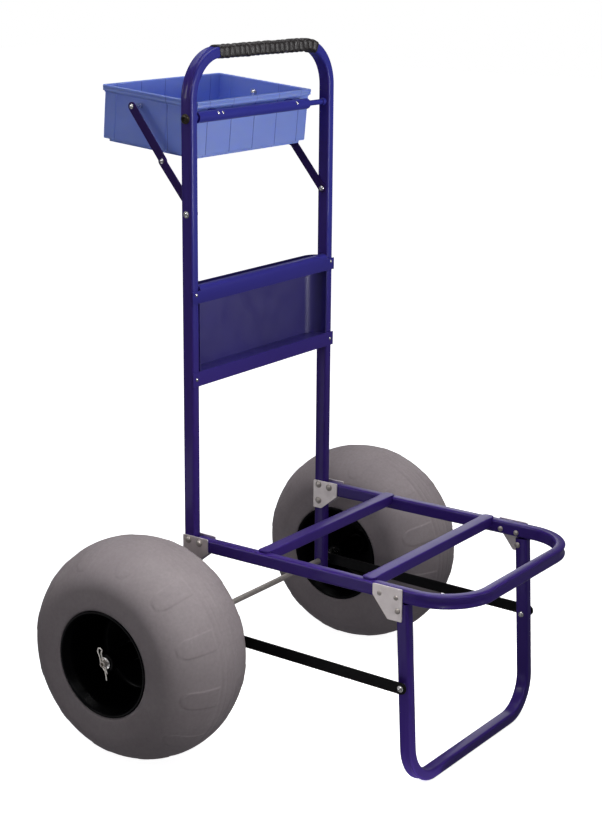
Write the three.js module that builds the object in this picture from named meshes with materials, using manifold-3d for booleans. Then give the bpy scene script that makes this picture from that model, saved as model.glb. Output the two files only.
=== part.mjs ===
// Folding fishing trolley: a bent-tube back frame on two balloon wheels, a platform that folds up
// with its front leg, and a plastic tray on a rod below the handle.
// Millimetres, +Z up. The platform points to -Y and the tray to +Y. Left is +X, right is -X.
import * as THREE from 'three';
import { mergeVertices } from 'three/addons/utils/BufferGeometryUtils.js';
import Module from 'manifold-3d';

const wasm = await Module();
wasm.setup();

// Gaps between seated pieces and around pins, the overrun of a cutter, and the reach of a weld
const seatGap = 0.3;
const pinGap = 0.3;
const overrun = 5;
const weldReach = 1e-4;

// Bent tube of the three U frames
const tubeAcross = 20;
const tubeDeep = 25;
const tubeWall = 1.6;
const tubeCorner = 4.5;
const bendDish = 3;

// Back frame
const frameHalfWidth = 215;
const uprightFoot = 180;
const handleTop = 1291;
const handleBendRadius = 82;

// Handle grip
const gripBoreGap = 0.8;
const gripThickness = 1.1;
const gripRidge = 1.2;
const gripRidges = 16;
const gripStartTurn = 5;
const gripEndTurn = 23;

// Back panel
const panelSheet = 2;
const panelPastTube = 2;
const panelHeight = 188.5;
const panelBelowBraceBolt = 132;
const lowerBarHeight = 27.5;
const upperBarHeight = 32.5;
const panelRecess = 34;
const panelCurve = 33;
const panelRoll = 9;
const panelLip = 5;

// Platform
const railTop = 385;
const railRear = 14.5;
const platformReach = 601;
const platformBendRadius = 92;
const pivotForward = 26;
const pivotDrop = 8;
const railEndRadius = 11.5;

// Crossbars
const crossbarWide = 25;
const crossbarHigh = 20;
const crossbarCorner = 3;
const crossbarWall = 1.5;
const crossbarRise = 4;
const crossbarPastFrame = 3;
const crossbarLap = 10;
const crossbarEndRadius = 8;
const crossbarRearForward = 167;
const crossbarFrontForward = 398;

// Gusset plates, their bolts and rivets
const gussetSheet = 2.5;
const gussetCorner = 2.5;
const gussetRise = 3;
const gussetBackLap = 0.5;
const gussetReach = 46;
const gussetShoulder = 25;
const gussetDrop = 56.5;
const gussetToe = 7;
const gussetUpperBoltDrop = 5.5;
const gussetLowerBoltDrop = 40;
const boltRadius = 3;
const boltHeadRadius = 6.2;
const boltHeadHeight = 3.4;
const legGussetRise = 1;
const legGussetBack = 53;
const legGussetFront = 9;
const legGussetShoulder = 20;
const legGussetDrop = 60;
const legGussetToe = 21;
const legRivetRadius = 4.5;
const legRivetHeight = 2.6;
const legRearRivetBack = 38.5;
const legRearRivetDrop = 15;
const legFrontRivetBack = 4;
const legFrontRivetDrop = 16.5;

// Front leg
const legPivotForward = 469;
const legPivotDrop = 40.5;
const legSplay = 3.1;
const legAxisForward = 6.8;
const legTopRise = 13;
const legBendRadius = 74;
const legStayDrop = 141;

// Stays between the axle and the leg
const stayWide = 22;
const stayThick = 3.5;
const stayOutFromTube = 7;
const legSpacerRadius = 7;

// Axle and what is on it
const axleRadius = 5.8;
const axlePastWheelMiddle = 107;
const axleChamfer = 1;
const axleSpacerRadius = 10;
const axleCollarRadius = 13;
const axleWasherRadius = 11.5;
const axleWasherThick = 2;
const clipFromEnd = 6;
const clipWireRadius = 1.25;
const clipLoopRadius = 5.4;
const clipLoopRise = 25;
const clipTail = 19;
const clipBowTail = 31;
const clipNeckOut = 4.4;
const clipNeckDrop = 10.5;
const clipPinchOut = 3.3;
const clipPinchDrop = 15.2;
const clipLean = 22;

// Wheels
const wheelRadius = 210;
const wheelFromTube = 146;
const tyreHalfWidth = 108;
const tyreSectionRadius = 71;
const tyreWall = 4.5;
const tyreRoundness = 1.95;
const rimOpening = 102;
const beadInset = 20;
const beadDrop = 3.5;
const beadGap = 1;
const beadEdge = 0.9;
const rimLipWide = 5;
const rimShell = 3;
const rimBarrelRadius = 88;
const rimConeDepth = 13;
const rimWebThick = 8;
const rimWebFillet = 8;
const hubRadius = 17;
const valveRadius = 3.5;
const valveLength = 20;
const valveInset = 12;

// Tray rod, its sleeve and ears
const rodBelowHandle = 123;
const rodRadius = 5.3;
const rodShoulderRadius = 7;
const rodShoulderLength = 8.5;
const rodScrewRadius = 4;
const rodScrewDepth = 12;
const rodScrewHeadRadius = 9;
const rodScrewHeadHeight = 4.5;
const rodSocketRadius = 3.5;
const rodSocketDepth = 2.5;
const sleeveRadius = 10.3;
const sleeveFromTube = 57;
const earRise = 10.5;
const earLength = 50;
const earFront = 8.5;
const earRightFromTube = 71;
const earLeftFromTube = 101;
const earScrewRadius = 3.6;
const earScrewHeight = 2;
const earScrewRise = 7;
const earScrewSpacing = 13;

// Tray
const trayTilt = 5;
const trayFromTube = 27;
const trayDepth = 230;
const trayHeight = 106;
const trayFrontGap = 10.9;
const trayTopRise = 24.2;
const trayCorner = 4.5;
const trayWallCorner = 3;
const trayBoreCorner = 1;
const trayWall = 2.5;
const trayLipOut = 4;
const trayLipHigh = 11;
const trayDraft = 0.5;
const trayGrooveFromSide = 36;
const trayGrooveHalf = 1.6;
const trayGrooveDepth = 1;
const traySideGroove = 43;
const plinthHigh = 6;
const plinthInsetX = 10;
const plinthInsetY = 7;

// Folding stays of the tray
const braceBoltBelowRod = 171;
const braceKneeShare = 0.49;
const braceKneeSag = 2;
const braceWide = 17;
const braceThick = 3;
const braceBoltRadius = 3;
const braceHeadRadius = 5;
const braceHeadHeight = 2.6;
const braceDomeRadius = 5.6;
const braceDomeHeight = 5;
const braceSpacerRadius = 5;
const trayBoltBack = 146.5;
const trayBoltDrop = 1.8;

// Facets
const bendSteps = 6;
const cornerSteps = 2;
const gripBendSteps = 3;
const tyreSegments = 28;
const rimSegments = 16;
const pinSegments = 8;
const ringSegments = 10;
const boltSegments = 8;
const wireSides = 5;
const wireSteps = 14;
const plateSegments = 2;
const arcSegments = 4;

// Shares of a dome's height and radius, of a tube wall's flat, of a quarter turn round a tyre, of an
// ear's length and of the loop of a spring clip
const domeShares = [[0, 1], [0.6, 0.82], [1, 0]];
const outerWallShares = [-0.45, 0.45];
const boreWallShares = [0];
const tyreShares = [0, 0.25, 0.5, 0.75];
const tyreBoreShares = [0.5];
const earShoulderShare = 0.3;
const clipLoopShare = 0.25;

// Places that several pieces share
const sides = [['left', 1], ['right', -1]];
const tubeOutside = frameHalfWidth + tubeAcross / 2;
const tubeInside = frameHalfWidth - tubeAcross / 2;
const panelHalfWidth = tubeOutside + panelPastTube;
const crossbarReach = frameHalfWidth + crossbarPastFrame;
const wheelOut = tubeOutside + wheelFromTube;
const sleeveLeftEnd = tubeInside - sleeveFromTube;
const earRightPlace = earRightFromTube - tubeInside;
const earLeftPlace = tubeInside - earLeftFromTube;
const trayHalfWidth = tubeInside - trayFromTube;
const trayGroovePitch = (trayHalfWidth - trayGrooveFromSide) / 2;
const axleHeight = wheelRadius;
const axleHalfLength = wheelOut + axlePastWheelMiddle;
const clipOut = axleHalfLength - clipFromEnd;
const rodHeight = handleTop - rodBelowHandle;
const braceBoltHeight = rodHeight - braceBoltBelowRod;
const panelTop = braceBoltHeight - panelBelowBraceBolt;
const panelBottom = panelTop - panelHeight;
const railHeight = railTop - tubeDeep / 2;
const pivotHeight = railTop - pivotDrop;
const legPivotHeight = railTop - legPivotDrop;
const plateOutside = tubeOutside + seatGap + gussetSheet;
const plateInside = tubeInside - seatGap - gussetSheet;
const stayInside = tubeOutside + stayOutFromTube;
const stayOutside = stayInside + stayThick;
const tyreInnerSide = wheelOut - tyreHalfWidth;
const radians = THREE.MathUtils.degToRad;

// Colours
const navy = 0x2c2a86;
const cornflower = 0x6f86cc;
const zinc = 0xa8a29a;
const chrome = 0xc9c9cc;
const tyreGrey = 0x8c8284;
const black = 0x141416;

function paint(color, roughness, metalness) {
  return new THREE.MeshStandardMaterial({ color, roughness, metalness });
}

// Solids: weld a geometry, turn its faces out, and carry it to and from the boolean library
function weld(geometry) {
  const bare = geometry.index ? geometry.clone() : geometry;
  bare.deleteAttribute('normal');
  bare.deleteAttribute('uv');
  return mergeVertices(bare, weldReach);
}

function solid(geometry) {
  const welded = weld(geometry);
  const body = new wasm.Manifold(new wasm.Mesh({
    numProp: 3,
    vertProperties: Float32Array.from(welded.attributes.position.array),
    triVerts: Uint32Array.from(welded.index.array),
  }));
  return body;
}

function geometryOf(body) {
  const mesh = body.getMesh();
  const geometry = new THREE.BufferGeometry();
  geometry.setAttribute('position', new THREE.BufferAttribute(mesh.vertProperties, 3));
  geometry.setIndex(new THREE.BufferAttribute(mesh.triVerts, 1));
  geometry.computeVertexNormals();
  return geometry;
}

function joined(bodies) {
  return bodies.reduce((sum, body) => sum.add(body));
}

function cut(body, cutters) {
  return cutters.reduce((rest, cutter) => rest.subtract(cutter), body);
}

function piece(name, body, material) {
  const geometry = body.isBufferGeometry ? body : geometryOf(body);
  const mesh = new THREE.Mesh(geometry, material);
  mesh.name = name;
  return mesh;
}

// A shape drawn in the Y-Z plane and pushed along X
function plateAcross(shape, fromX, toX, curveSegments = plateSegments) {
  const low = Math.min(fromX, toX);
  const depth = Math.abs(toX - fromX);
  const geometry = new THREE.ExtrudeGeometry(shape, { depth, bevelEnabled: false, curveSegments });
  const axes = [new THREE.Vector3(0, 1, 0), new THREE.Vector3(0, 0, 1), new THREE.Vector3(1, 0, 0)];
  geometry.applyMatrix4(new THREE.Matrix4().makeBasis(...axes));
  return solid(geometry.translate(low, 0, 0));
}

// A shape drawn in the X-Y plane and pushed up along Z
function plateUp(shape, fromZ, toZ) {
  const options = { depth: toZ - fromZ, bevelEnabled: false, curveSegments: arcSegments };
  return solid(new THREE.ExtrudeGeometry(shape, options).translate(0, 0, fromZ));
}

function box(low, high) {
  const size = high.map((value, index) => value - low[index]);
  const middle = high.map((value, index) => (value + low[index]) / 2);
  return solid(new THREE.BoxGeometry(...size).translate(...middle));
}

// The radius of a faceted bore whose flats still clear a pin
function boreFor(radius, segments) {
  return (radius + pinGap) / Math.cos(Math.PI / segments);
}

// A cylinder along X through the point (y, z)
function pinAcross(radius, fromX, toX, y, z, segments = pinSegments) {
  const geometry = new THREE.CylinderGeometry(radius, radius, Math.abs(toX - fromX), segments);
  geometry.rotateZ(Math.PI / 2);
  return solid(geometry.translate((fromX + toX) / 2, y, z));
}

// A closed profile of [along, radius] points turned about the X axis
function turned(profile, segments, turn = 0) {
  const points = profile.map(([along, radius]) => new THREE.Vector2(radius, along));
  const area = THREE.ShapeUtils.area(points);
  if (area < 0) points.reverse();
  points.push(points[0].clone());
  const geometry = weld(new THREE.LatheGeometry(points, segments));
  geometry.rotateY(turn).rotateZ(-Math.PI / 2);
  return solid(dropSlivers(geometry));
}

// Triangles that a point on the axis has flattened are left out
function dropSlivers(geometry) {
  const kept = [];
  const index = geometry.index.array;
  for (let at = 0; at < index.length; at += 3) {
    const [a, b, c] = [index[at], index[at + 1], index[at + 2]];
    if (a !== b && b !== c && c !== a) kept.push(a, b, c);
  }
  geometry.setIndex(kept);
  return geometry;
}

// A polygon with rounded corners, and bores for pins given as [y, z, pin radius]
function roundedShape(corners, radius, holes = []) {
  const shape = new THREE.Shape();
  corners.forEach((corner, index) => {
    const here = new THREE.Vector2(...corner);
    const before = new THREE.Vector2(...corners.at(index - 1));
    const after = new THREE.Vector2(...corners[(index + 1) % corners.length]);
    const start = here.clone().add(before.sub(here).setLength(radius));
    const end = here.clone().add(after.sub(here).setLength(radius));
    if (index === 0) shape.moveTo(start.x, start.y);
    else shape.lineTo(start.x, start.y);
    shape.quadraticCurveTo(here.x, here.y, end.x, end.y);
  });
  shape.closePath();
  holes.forEach(([y, z, pinRadius]) => shape.holes.push(pinHole(y, z, pinRadius)));
  return shape;
}

// The outline of a bore through a plate for a pin at the point (y, z)
function pinHole(y, z, pinRadius) {
  const radius = boreFor(pinRadius, boltSegments);
  const points = Array.from({ length: boltSegments }, (_, at) => {
    const angle = -at / boltSegments * Math.PI * 2;
    return new THREE.Vector2(y + radius * Math.cos(angle), z + radius * Math.sin(angle));
  });
  return new THREE.Path(points);
}

// A flat bar with round ends between two points, bored for the pins given as [point, radius]
function linkShape(from, to, wide, pins) {
  const along = new THREE.Vector2().subVectors(to, from);
  const angle = along.angle();
  const shape = new THREE.Shape();
  shape.absarc(from.x, from.y, wide / 2, angle + Math.PI / 2, angle + Math.PI * 3 / 2, false);
  shape.absarc(to.x, to.y, wide / 2, angle - Math.PI / 2, angle + Math.PI / 2, false);
  shape.closePath();
  pins.forEach(([centre, radius]) => shape.holes.push(pinHole(centre.x, centre.y, radius)));
  return shape;
}

// A domed head's profile along X, from its rim at the seat to its top
function domeProfile(seat, way, radius, height) {
  return domeShares.map(([rise, out]) => [seat + way * height * rise, radius * out]);
}

// A domed head on the face at seat, rooted in the solid behind it
function rivetHead(seat, way, radius, height, root) {
  const rootX = seat - way * root;
  return turned([[rootX, 0], [rootX, radius], ...domeProfile(seat, way, radius, height)], boltSegments);
}

// A bolt along X with a domed head, given as [radius, height], at each end
function domedBolt(fromX, toX, radius, fromHead, toHead) {
  const profile = [
    ...domeProfile(fromX, -1, ...fromHead).reverse(), [fromX, radius], [toX, radius],
    ...domeProfile(toX, 1, ...toHead),
  ];
  return turned(profile, boltSegments);
}

// The cross-section of a bent tube. p points away from the centre of the bend, and the wall there
// is drawn in by the dish.
function tubeSection(across, deep, corner, dish, steps, wallShares) {
  const points = [];
  const flatP = across / 2 - corner;
  const flatQ = deep / 2 - corner;
  const corners = [[1, -1], [1, 1], [-1, 1], [-1, -1]];
  corners.forEach(([p, q], index) => {
    for (let step = 0; step <= steps; step++) {
      const angle = ((index - 1) + step / Math.max(steps, 1)) * Math.PI / 2;
      const arm = steps > 0 ? corner : 0;
      points.push([p * flatP + arm * Math.cos(angle), q * flatQ + arm * Math.sin(angle)]);
    }
    if (index > 0) return;
    wallShares.forEach((share) => points.push([across / 2 - dish * (1 - share * share), share * flatQ]));
  });
  return points;
}

function outerTubeSection(dishShare) {
  return tubeSection(tubeAcross, tubeDeep, tubeCorner, bendDish * dishShare, cornerSteps, outerWallShares);
}

function tubeBoreSection(dishShare) {
  const across = tubeAcross - 2 * tubeWall;
  const deep = tubeDeep - 2 * tubeWall;
  return tubeSection(across, deep, 0, bendDish * dishShare, 0, boreWallShares);
}

// Stations along a flat U that opens towards -Y: out along one arm, round two bends and back.
// Each station holds its place, the outward direction and how far the bend has drawn the wall in.
function uStations(halfWidth, depth, bendRadius) {
  const stations = [station(-halfWidth, 0, Math.PI, 0)];
  [[-1, Math.PI, Math.PI / 2], [1, Math.PI / 2, 0]].forEach(([side, from, to]) => {
    for (let step = 0; step <= bendSteps; step++) {
      const share = step / bendSteps;
      stations.push(bendStation(side, halfWidth, depth, bendRadius, from + (to - from) * share, share));
    }
  });
  stations.push(station(halfWidth, 0, 0, 0));
  return stations;
}

function station(x, y, angle, dish) {
  const out = new THREE.Vector3(Math.cos(angle), Math.sin(angle), 0);
  return { place: new THREE.Vector3(x, y, 0), out, dish };
}

function bendStation(side, halfWidth, depth, bendRadius, angle, share) {
  const x = side * (halfWidth - bendRadius) + bendRadius * Math.cos(angle);
  const y = depth - bendRadius + bendRadius * Math.sin(angle);
  const dish = Math.sqrt(Math.max(0, Math.sin(Math.PI * share)));
  return station(x, y, angle, dish);
}

// A hollow bar: outer and inner rings of points along their stations, and a flat face at each end
function pipe(outerRings, innerRings) {
  const positions = [];
  const index = [];
  const addRings = (rings, flip) => {
    const first = positions.length / 3;
    const count = rings[0].points.length;
    rings.forEach((ring) => ring.points.forEach((point) => positions.push(...point.toArray())));
    for (let ring = 0; ring < rings.length - 1; ring++) {
      for (let at = 0; at < count; at++) {
        const next = (at + 1) % count;
        const [a, b] = [first + ring * count + at, first + ring * count + next];
        const [c, d] = [b + count, a + count];
        index.push(...(flip ? [a, c, b, a, d, c] : [a, b, c, a, c, d]));
      }
    }
    return first;
  };
  const outerFirst = addRings(outerRings, false);
  const innerFirst = addRings(innerRings, true);
  const addEnd = (atEnd) => {
    const outer = outerRings.at(atEnd ? -1 : 0);
    const inner = innerRings.at(atEnd ? -1 : 0);
    const outerStart = outerFirst + (atEnd ? (outerRings.length - 1) * outer.section.length : 0);
    const innerStart = innerFirst + (atEnd ? (innerRings.length - 1) * inner.section.length : 0);
    const contour = outer.section.map(([p, q]) => new THREE.Vector2(p, q));
    const hole = inner.section.map(([p, q]) => new THREE.Vector2(p, q));
    const flat = [...contour, ...hole];
    THREE.ShapeUtils.triangulateShape(contour, [hole]).forEach(([a, b, c]) => {
      const turn = THREE.ShapeUtils.area([flat[a], flat[b], flat[c]]) > 0;
      const corner = (at) => (at < contour.length ? outerStart + at : innerStart + at - contour.length);
      index.push(...(turn === atEnd ? [a, b, c] : [a, c, b]).map(corner));
    });
  };
  addEnd(false);
  addEnd(true);
  const geometry = new THREE.BufferGeometry();
  geometry.setAttribute('position', new THREE.Float32BufferAttribute(positions, 3));
  geometry.setIndex(index);
  return geometry;
}

function ringsOf(stations, sectionAt) {
  return stations.map((at, index) => {
    const section = sectionAt(at, index);
    const points = section.map(([p, q]) => at.place.clone().addScaledVector(at.out, p).setZ(q));
    return { section, points };
  });
}

function uTube(halfWidth, depth, bendRadius) {
  const stations = uStations(halfWidth, depth, bendRadius);
  const outer = ringsOf(stations, (at) => outerTubeSection(at.dish));
  const bore = ringsOf(stations, (at) => tubeBoreSection(at.dish));
  return pipe(outer, bore);
}

// The knee of a pair of links that stand nearly in line, dropped a little below that line
function kneeBetween(foot, top) {
  const line = new THREE.Vector2().subVectors(top, foot);
  const below = new THREE.Vector2(line.y, -line.x).setLength(braceKneeSag);
  return foot.clone().addScaledVector(line, braceKneeShare).add(below);
}

// Back frame: one tube bent into the uprights and the handle
function backFrame() {
  const depth = handleTop - tubeAcross / 2 - uprightFoot;
  const geometry = uTube(frameHalfWidth, depth, handleBendRadius);
  geometry.rotateX(Math.PI / 2).translate(0, 0, uprightFoot);
  const holes = [
    [0, axleHeight, axleRadius],
    [0, railTop - gussetUpperBoltDrop, boltRadius],
    [0, railTop - gussetLowerBoltDrop, boltRadius],
    [0, braceBoltHeight, braceBoltRadius],
    [0, rodHeight, rodScrewRadius],
  ];
  const bores = holes.map(([y, z, radius]) => pinAcross(
    boreFor(radius, pinSegments), -tubeOutside - overrun, tubeOutside + overrun, y, z));
  return piece('back_frame', cut(solid(geometry), bores), paint(navy, 0.3, 0.1));
}

// Grip: a ridged sleeve round the top of the handle, running a little into each bend
function handleGrip() {
  const top = handleTop - tubeAcross / 2;
  const flatHalf = frameHalfWidth - handleBendRadius;
  const startLength = radians(gripStartTurn) * handleBendRadius;
  const endLength = radians(gripEndTurn) * handleBendRadius;
  const length = startLength + 2 * flatHalf + endLength;
  const stationAt = (along) => {
    if (along < startLength) {
      const turn = Math.PI / 2 + (startLength - along) / handleBendRadius;
      return bendStation(-1, frameHalfWidth, top, handleBendRadius, turn, 0);
    }
    const straight = along - startLength;
    if (straight <= 2 * flatHalf) return station(straight - flatHalf, top, Math.PI / 2, 0);
    const turn = Math.PI / 2 - (straight - 2 * flatHalf) / handleBendRadius;
    return bendStation(1, frameHalfWidth, top, handleBendRadius, turn, 0);
  };
  const layer = (out) => tubeSection(
    tubeAcross + 2 * out, tubeDeep + 2 * out, tubeCorner + out, 0, cornerSteps, []);
  const ridgeSteps = 2 * gripRidges;
  const ridgeStations = Array.from(
    { length: ridgeSteps + 1 }, (_, at) => stationAt(length * at / ridgeSteps));
  const outer = ringsOf(ridgeStations, (at, index) => layer(
    gripBoreGap + gripThickness + (index % 2) * gripRidge));
  const boreAlong = [0, startLength, startLength + 2 * flatHalf];
  for (let step = 1; step <= gripBendSteps; step++) {
    boreAlong.push(startLength + 2 * flatHalf + endLength * step / gripBendSteps);
  }
  const bore = ringsOf(boreAlong.map(stationAt), () => layer(gripBoreGap));
  return piece('handle_grip', solid(pipe(outer, bore).rotateX(Math.PI / 2)), paint(black, 0.7, 0));
}

// Back panel: a recessed sheet between the uprights, with a bar across their fronts at its top and
// bottom. The top edge is rolled back.
function backPanel() {
  const sideX = tubeInside - seatGap;
  const barBack = -tubeDeep / 2 - seatGap;
  const barFront = barBack - panelSheet;
  const panFront = (barBack + barFront) / 2;
  const sheetBack = barBack + panelRecess;
  const shelfTop = panelBottom + lowerBarHeight;
  const barTop = panelTop - panelRoll;
  const panFill = (inset, front) => {
    const shape = new THREE.Shape();
    const [half, back, curve] = [sideX - inset, sheetBack - inset, panelCurve - inset];
    shape.moveTo(half, front);
    shape.absarc(half - curve, back - curve, curve, 0, Math.PI / 2, false);
    shape.absarc(-half + curve, back - curve, curve, Math.PI / 2, Math.PI, false);
    shape.lineTo(-half, front);
    shape.closePath();
    return shape;
  };
  const inner = panFill(panelSheet, panFront - overrun);
  const pan = cut(plateUp(panFill(0, panFront), panelBottom, panelTop), [
    plateUp(inner, panelBottom - overrun, shelfTop - panelSheet),
    plateUp(inner, shelfTop, panelTop + overrun),
  ]);
  const barAcross = (low, high) => box([-panelHalfWidth, barFront, low], [panelHalfWidth, barBack, high]);
  const lowerBar = barAcross(panelBottom, shelfTop);
  const upperBar = barAcross(panelTop - upperBarHeight, barTop);
  const roll = new THREE.Shape();
  roll.moveTo(barFront, barTop - panelRoll);
  roll.lineTo(barFront, barTop);
  roll.absarc(barFront + panelRoll, barTop, panelRoll, Math.PI, Math.PI / 2, true);
  roll.lineTo(barFront + panelRoll + panelLip, panelTop);
  roll.lineTo(barFront + panelRoll + panelLip, panelTop - panelSheet);
  roll.lineTo(barFront + panelRoll, panelTop - panelSheet);
  roll.absarc(barFront + panelRoll, barTop, panelRoll - panelSheet, Math.PI / 2, Math.PI, false);
  roll.lineTo(barBack, barTop - panelRoll);
  roll.closePath();
  const whole = joined([pan, lowerBar, upperBar, plateAcross(roll, -sideX, sideX, arcSegments)]);
  return piece('back_panel', whole, paint(navy, 0.35, 0.1));
}

// Gusset plates at the foot of the uprights, one on each face, and the bolts through them
function uprightGussets() {
  const front = -gussetReach;
  const back = tubeDeep / 2 + gussetBackLap;
  const corners = [
    [back, railTop + gussetRise],
    [front, railTop + gussetRise],
    [front, railTop - gussetShoulder],
    [-gussetToe, railTop - gussetDrop],
    [back, railTop - gussetDrop],
  ];
  const bolts = [
    ['gusset_bolt_upper', 0, railTop - gussetUpperBoltDrop],
    ['gusset_bolt_lower', 0, railTop - gussetLowerBoltDrop],
    ['platform_pivot', -pivotForward, pivotHeight],
  ];
  const holes = bolts.map(([, y, z]) => [y, z, boltRadius]);
  const plate = roundedShape(corners, gussetCorner, holes);
  const pieces = [];
  sides.forEach(([name, side]) => {
    const outerPlate = plateAcross(plate, side * (tubeOutside + seatGap), side * plateOutside);
    const innerPlate = plateAcross(plate, side * plateInside, side * (tubeInside - seatGap));
    pieces.push(piece(`upright_gusset_outer_${name}`, outerPlate, paint(zinc, 0.4, 0.7)));
    pieces.push(piece(`upright_gusset_inner_${name}`, innerPlate, paint(zinc, 0.4, 0.7)));
    bolts.forEach(([boltName, y, z]) => {
      const ends = [side * (plateInside - seatGap), side * (plateOutside + seatGap)];
      const head = [boltHeadRadius, boltHeadHeight];
      const bolt = domedBolt(Math.min(...ends), Math.max(...ends), boltRadius, head, head);
      pieces.push(piece(`${boltName}_${name}`, bolt.translate([0, y, z]), paint(zinc, 0.3, 0.9)));
    });
  });
  return pieces;
}

// Axle, with the spacers, collars, washers and spring clips that hold the stays and wheels
function axleParts() {
  const half = axleHalfLength;
  const rod = turned([
    [-half, 0], [-half, axleRadius - axleChamfer], [-half + axleChamfer, axleRadius],
    [half - axleChamfer, axleRadius], [half, axleRadius - axleChamfer], [half, 0],
  ], pinSegments);
  const clipHoles = sides.map(([, side]) => {
    const radius = boreFor(clipWireRadius, wireSides);
    const hole = new THREE.CylinderGeometry(radius, radius, 2 * (axleRadius + overrun), wireSides);
    return solid(hole.rotateX(Math.PI / 2 - radians(clipLean)).translate(side * clipOut, 0, 0));
  });
  const pieces = [piece('axle', cut(rod, clipHoles).translate([0, 0, axleHeight]), paint(chrome, 0.2, 0.9))];
  const bore = boreFor(axleRadius, ringSegments);
  const rings = [
    ['axle_spacer', tubeOutside + seatGap, stayInside - seatGap, axleSpacerRadius],
    ['axle_collar', stayOutside + seatGap, tyreInnerSide - seatGap, axleCollarRadius],
    ['axle_washer', clipOut - clipWireRadius - seatGap - axleWasherThick,
      clipOut - clipWireRadius - seatGap, axleWasherRadius],
  ];
  sides.forEach(([name, side]) => {
    rings.forEach(([ringName, from, to, radius]) => {
      const section = [[from, bore], [from, radius], [to, radius], [to, bore]];
      const ring = turned(section.map(([along, out]) => [side * along, out]), ringSegments);
      pieces.push(piece(`${ringName}_${name}`, ring.translate([0, 0, axleHeight]), paint(chrome, 0.2, 0.9)));
    });
    const clip = springClip();
    clip.name = `r_clip_${name}`;
    clip.position.set(side * clipOut, 0, axleHeight);
    clip.rotation.x = -radians(clipLean);
    pieces.push(clip);
  });
  return pieces;
}

// Spring clip in its own Y-Z plane: the straight leg runs down through the axle, a loop turns over
// the top and the other leg bows round the axle
function springClip() {
  const bow = axleRadius + clipWireRadius + pinGap;
  const points = [
    [0, -clipTail], [0, 0], [-clipLoopRadius * clipLoopShare, clipLoopRise - clipLoopRadius],
    [-clipLoopRadius, clipLoopRise], [0, clipLoopRise + clipLoopRadius], [clipLoopRadius, clipLoopRise],
    [clipLoopRadius, clipLoopRise / 2], [bow, 0], [clipNeckOut, -clipNeckDrop],
    [clipPinchOut, -clipPinchDrop], [bow, -clipBowTail],
  ].map(([y, z]) => new THREE.Vector3(0, y, z));
  const path = new THREE.CatmullRomCurve3(points, false, 'centripetal');
  const section = new THREE.Shape();
  for (let at = 0; at < wireSides; at++) {
    const angle = at / wireSides * Math.PI * 2;
    section[at ? 'lineTo' : 'moveTo'](clipWireRadius * Math.cos(angle), clipWireRadius * Math.sin(angle));
  }
  section.closePath();
  const wire = new THREE.ExtrudeGeometry(section, {
    extrudePath: path, steps: wireSteps, curveSegments: wireSides, bevelEnabled: false,
  });
  return piece('r_clip', solid(wire), paint(chrome, 0.25, 0.9));
}

// Rod across the uprights, with a screw into each end
function trayRod() {
  const end = tubeInside - seatGap;
  const shoulder = end - rodShoulderLength;
  const rod = turned([
    [-end, 0], [-end, rodShoulderRadius], [-shoulder, rodShoulderRadius], [-shoulder, rodRadius],
    [shoulder, rodRadius], [shoulder, rodShoulderRadius], [end, rodShoulderRadius], [end, 0],
  ], pinSegments);
  const socketRadius = boreFor(rodScrewRadius, pinSegments);
  const sockets = sides.map(([, side]) => pinAcross(
    socketRadius, side * (end - rodScrewDepth - seatGap), side * (end + overrun), 0, 0));
  const pieces = [piece('tray_rod', cut(rod, sockets).translate([0, 0, rodHeight]), paint(navy, 0.35, 0.2))];
  const seat = tubeOutside + seatGap;
  const top = seat + rodScrewHeadHeight;
  sides.forEach(([name, side]) => {
    const screw = turned([
      [side * (end - rodScrewDepth), 0], [side * (end - rodScrewDepth), rodScrewRadius],
      [side * seat, rodScrewRadius], [side * seat, rodScrewHeadRadius],
      [side * (seat + rodScrewHeadHeight / 2), rodScrewHeadRadius],
      [side * top, (rodScrewHeadRadius + rodSocketRadius) / 2], [side * top, rodSocketRadius],
      [side * (top - rodSocketDepth), rodSocketRadius], [side * (top - rodSocketDepth), 0],
    ], pinSegments);
    pieces.push(piece(`tray_rod_screw_${name}`, screw.translate([0, 0, rodHeight]), paint(black, 0.4, 0.5)));
  });
  return pieces;
}

// Tray body and the sleeve that hangs it on the rod, in the tray's own frame with its origin on
// the rod
function trayOutline(halfX, halfY, corner, groove) {
  const points = [];
  const grooveX = [-2, -1, 0, 1, 2].map((count) => count * trayGroovePitch * halfX / trayHalfWidth);
  const grooveY = [-1, 1].map((way) => way * traySideGroove * halfY * 2 / trayDepth);
  const walls = [
    [[0, -1], [1, 0], grooveX, halfX, halfY],
    [[1, 0], [0, 1], grooveY, halfY, halfX],
    [[0, 1], [-1, 0], grooveX, halfX, halfY],
    [[-1, 0], [0, -1], grooveY, halfY, halfX],
  ];
  walls.forEach(([out, along, places, halfAlong, halfOut], index) => {
    const put = (place, depth) => points.push(
      [out[0] * (halfOut - depth) + along[0] * place, out[1] * (halfOut - depth) + along[1] * place]);
    places.forEach((place) => {
      put(place - trayGrooveHalf, 0);
      put(place, groove);
      put(place + trayGrooveHalf, 0);
    });
    const centre = [out[0] + along[0], out[1] + along[1]];
    for (let step = 0; step <= cornerSteps; step++) {
      const angle = (index - 1 + step / cornerSteps) * Math.PI / 2;
      const [x, y] = [centre[0] * (halfX - corner), centre[1] * (halfY - corner)];
      points.push([x + corner * Math.cos(angle), y + corner * Math.sin(angle)]);
    }
  });
  return points;
}

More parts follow.
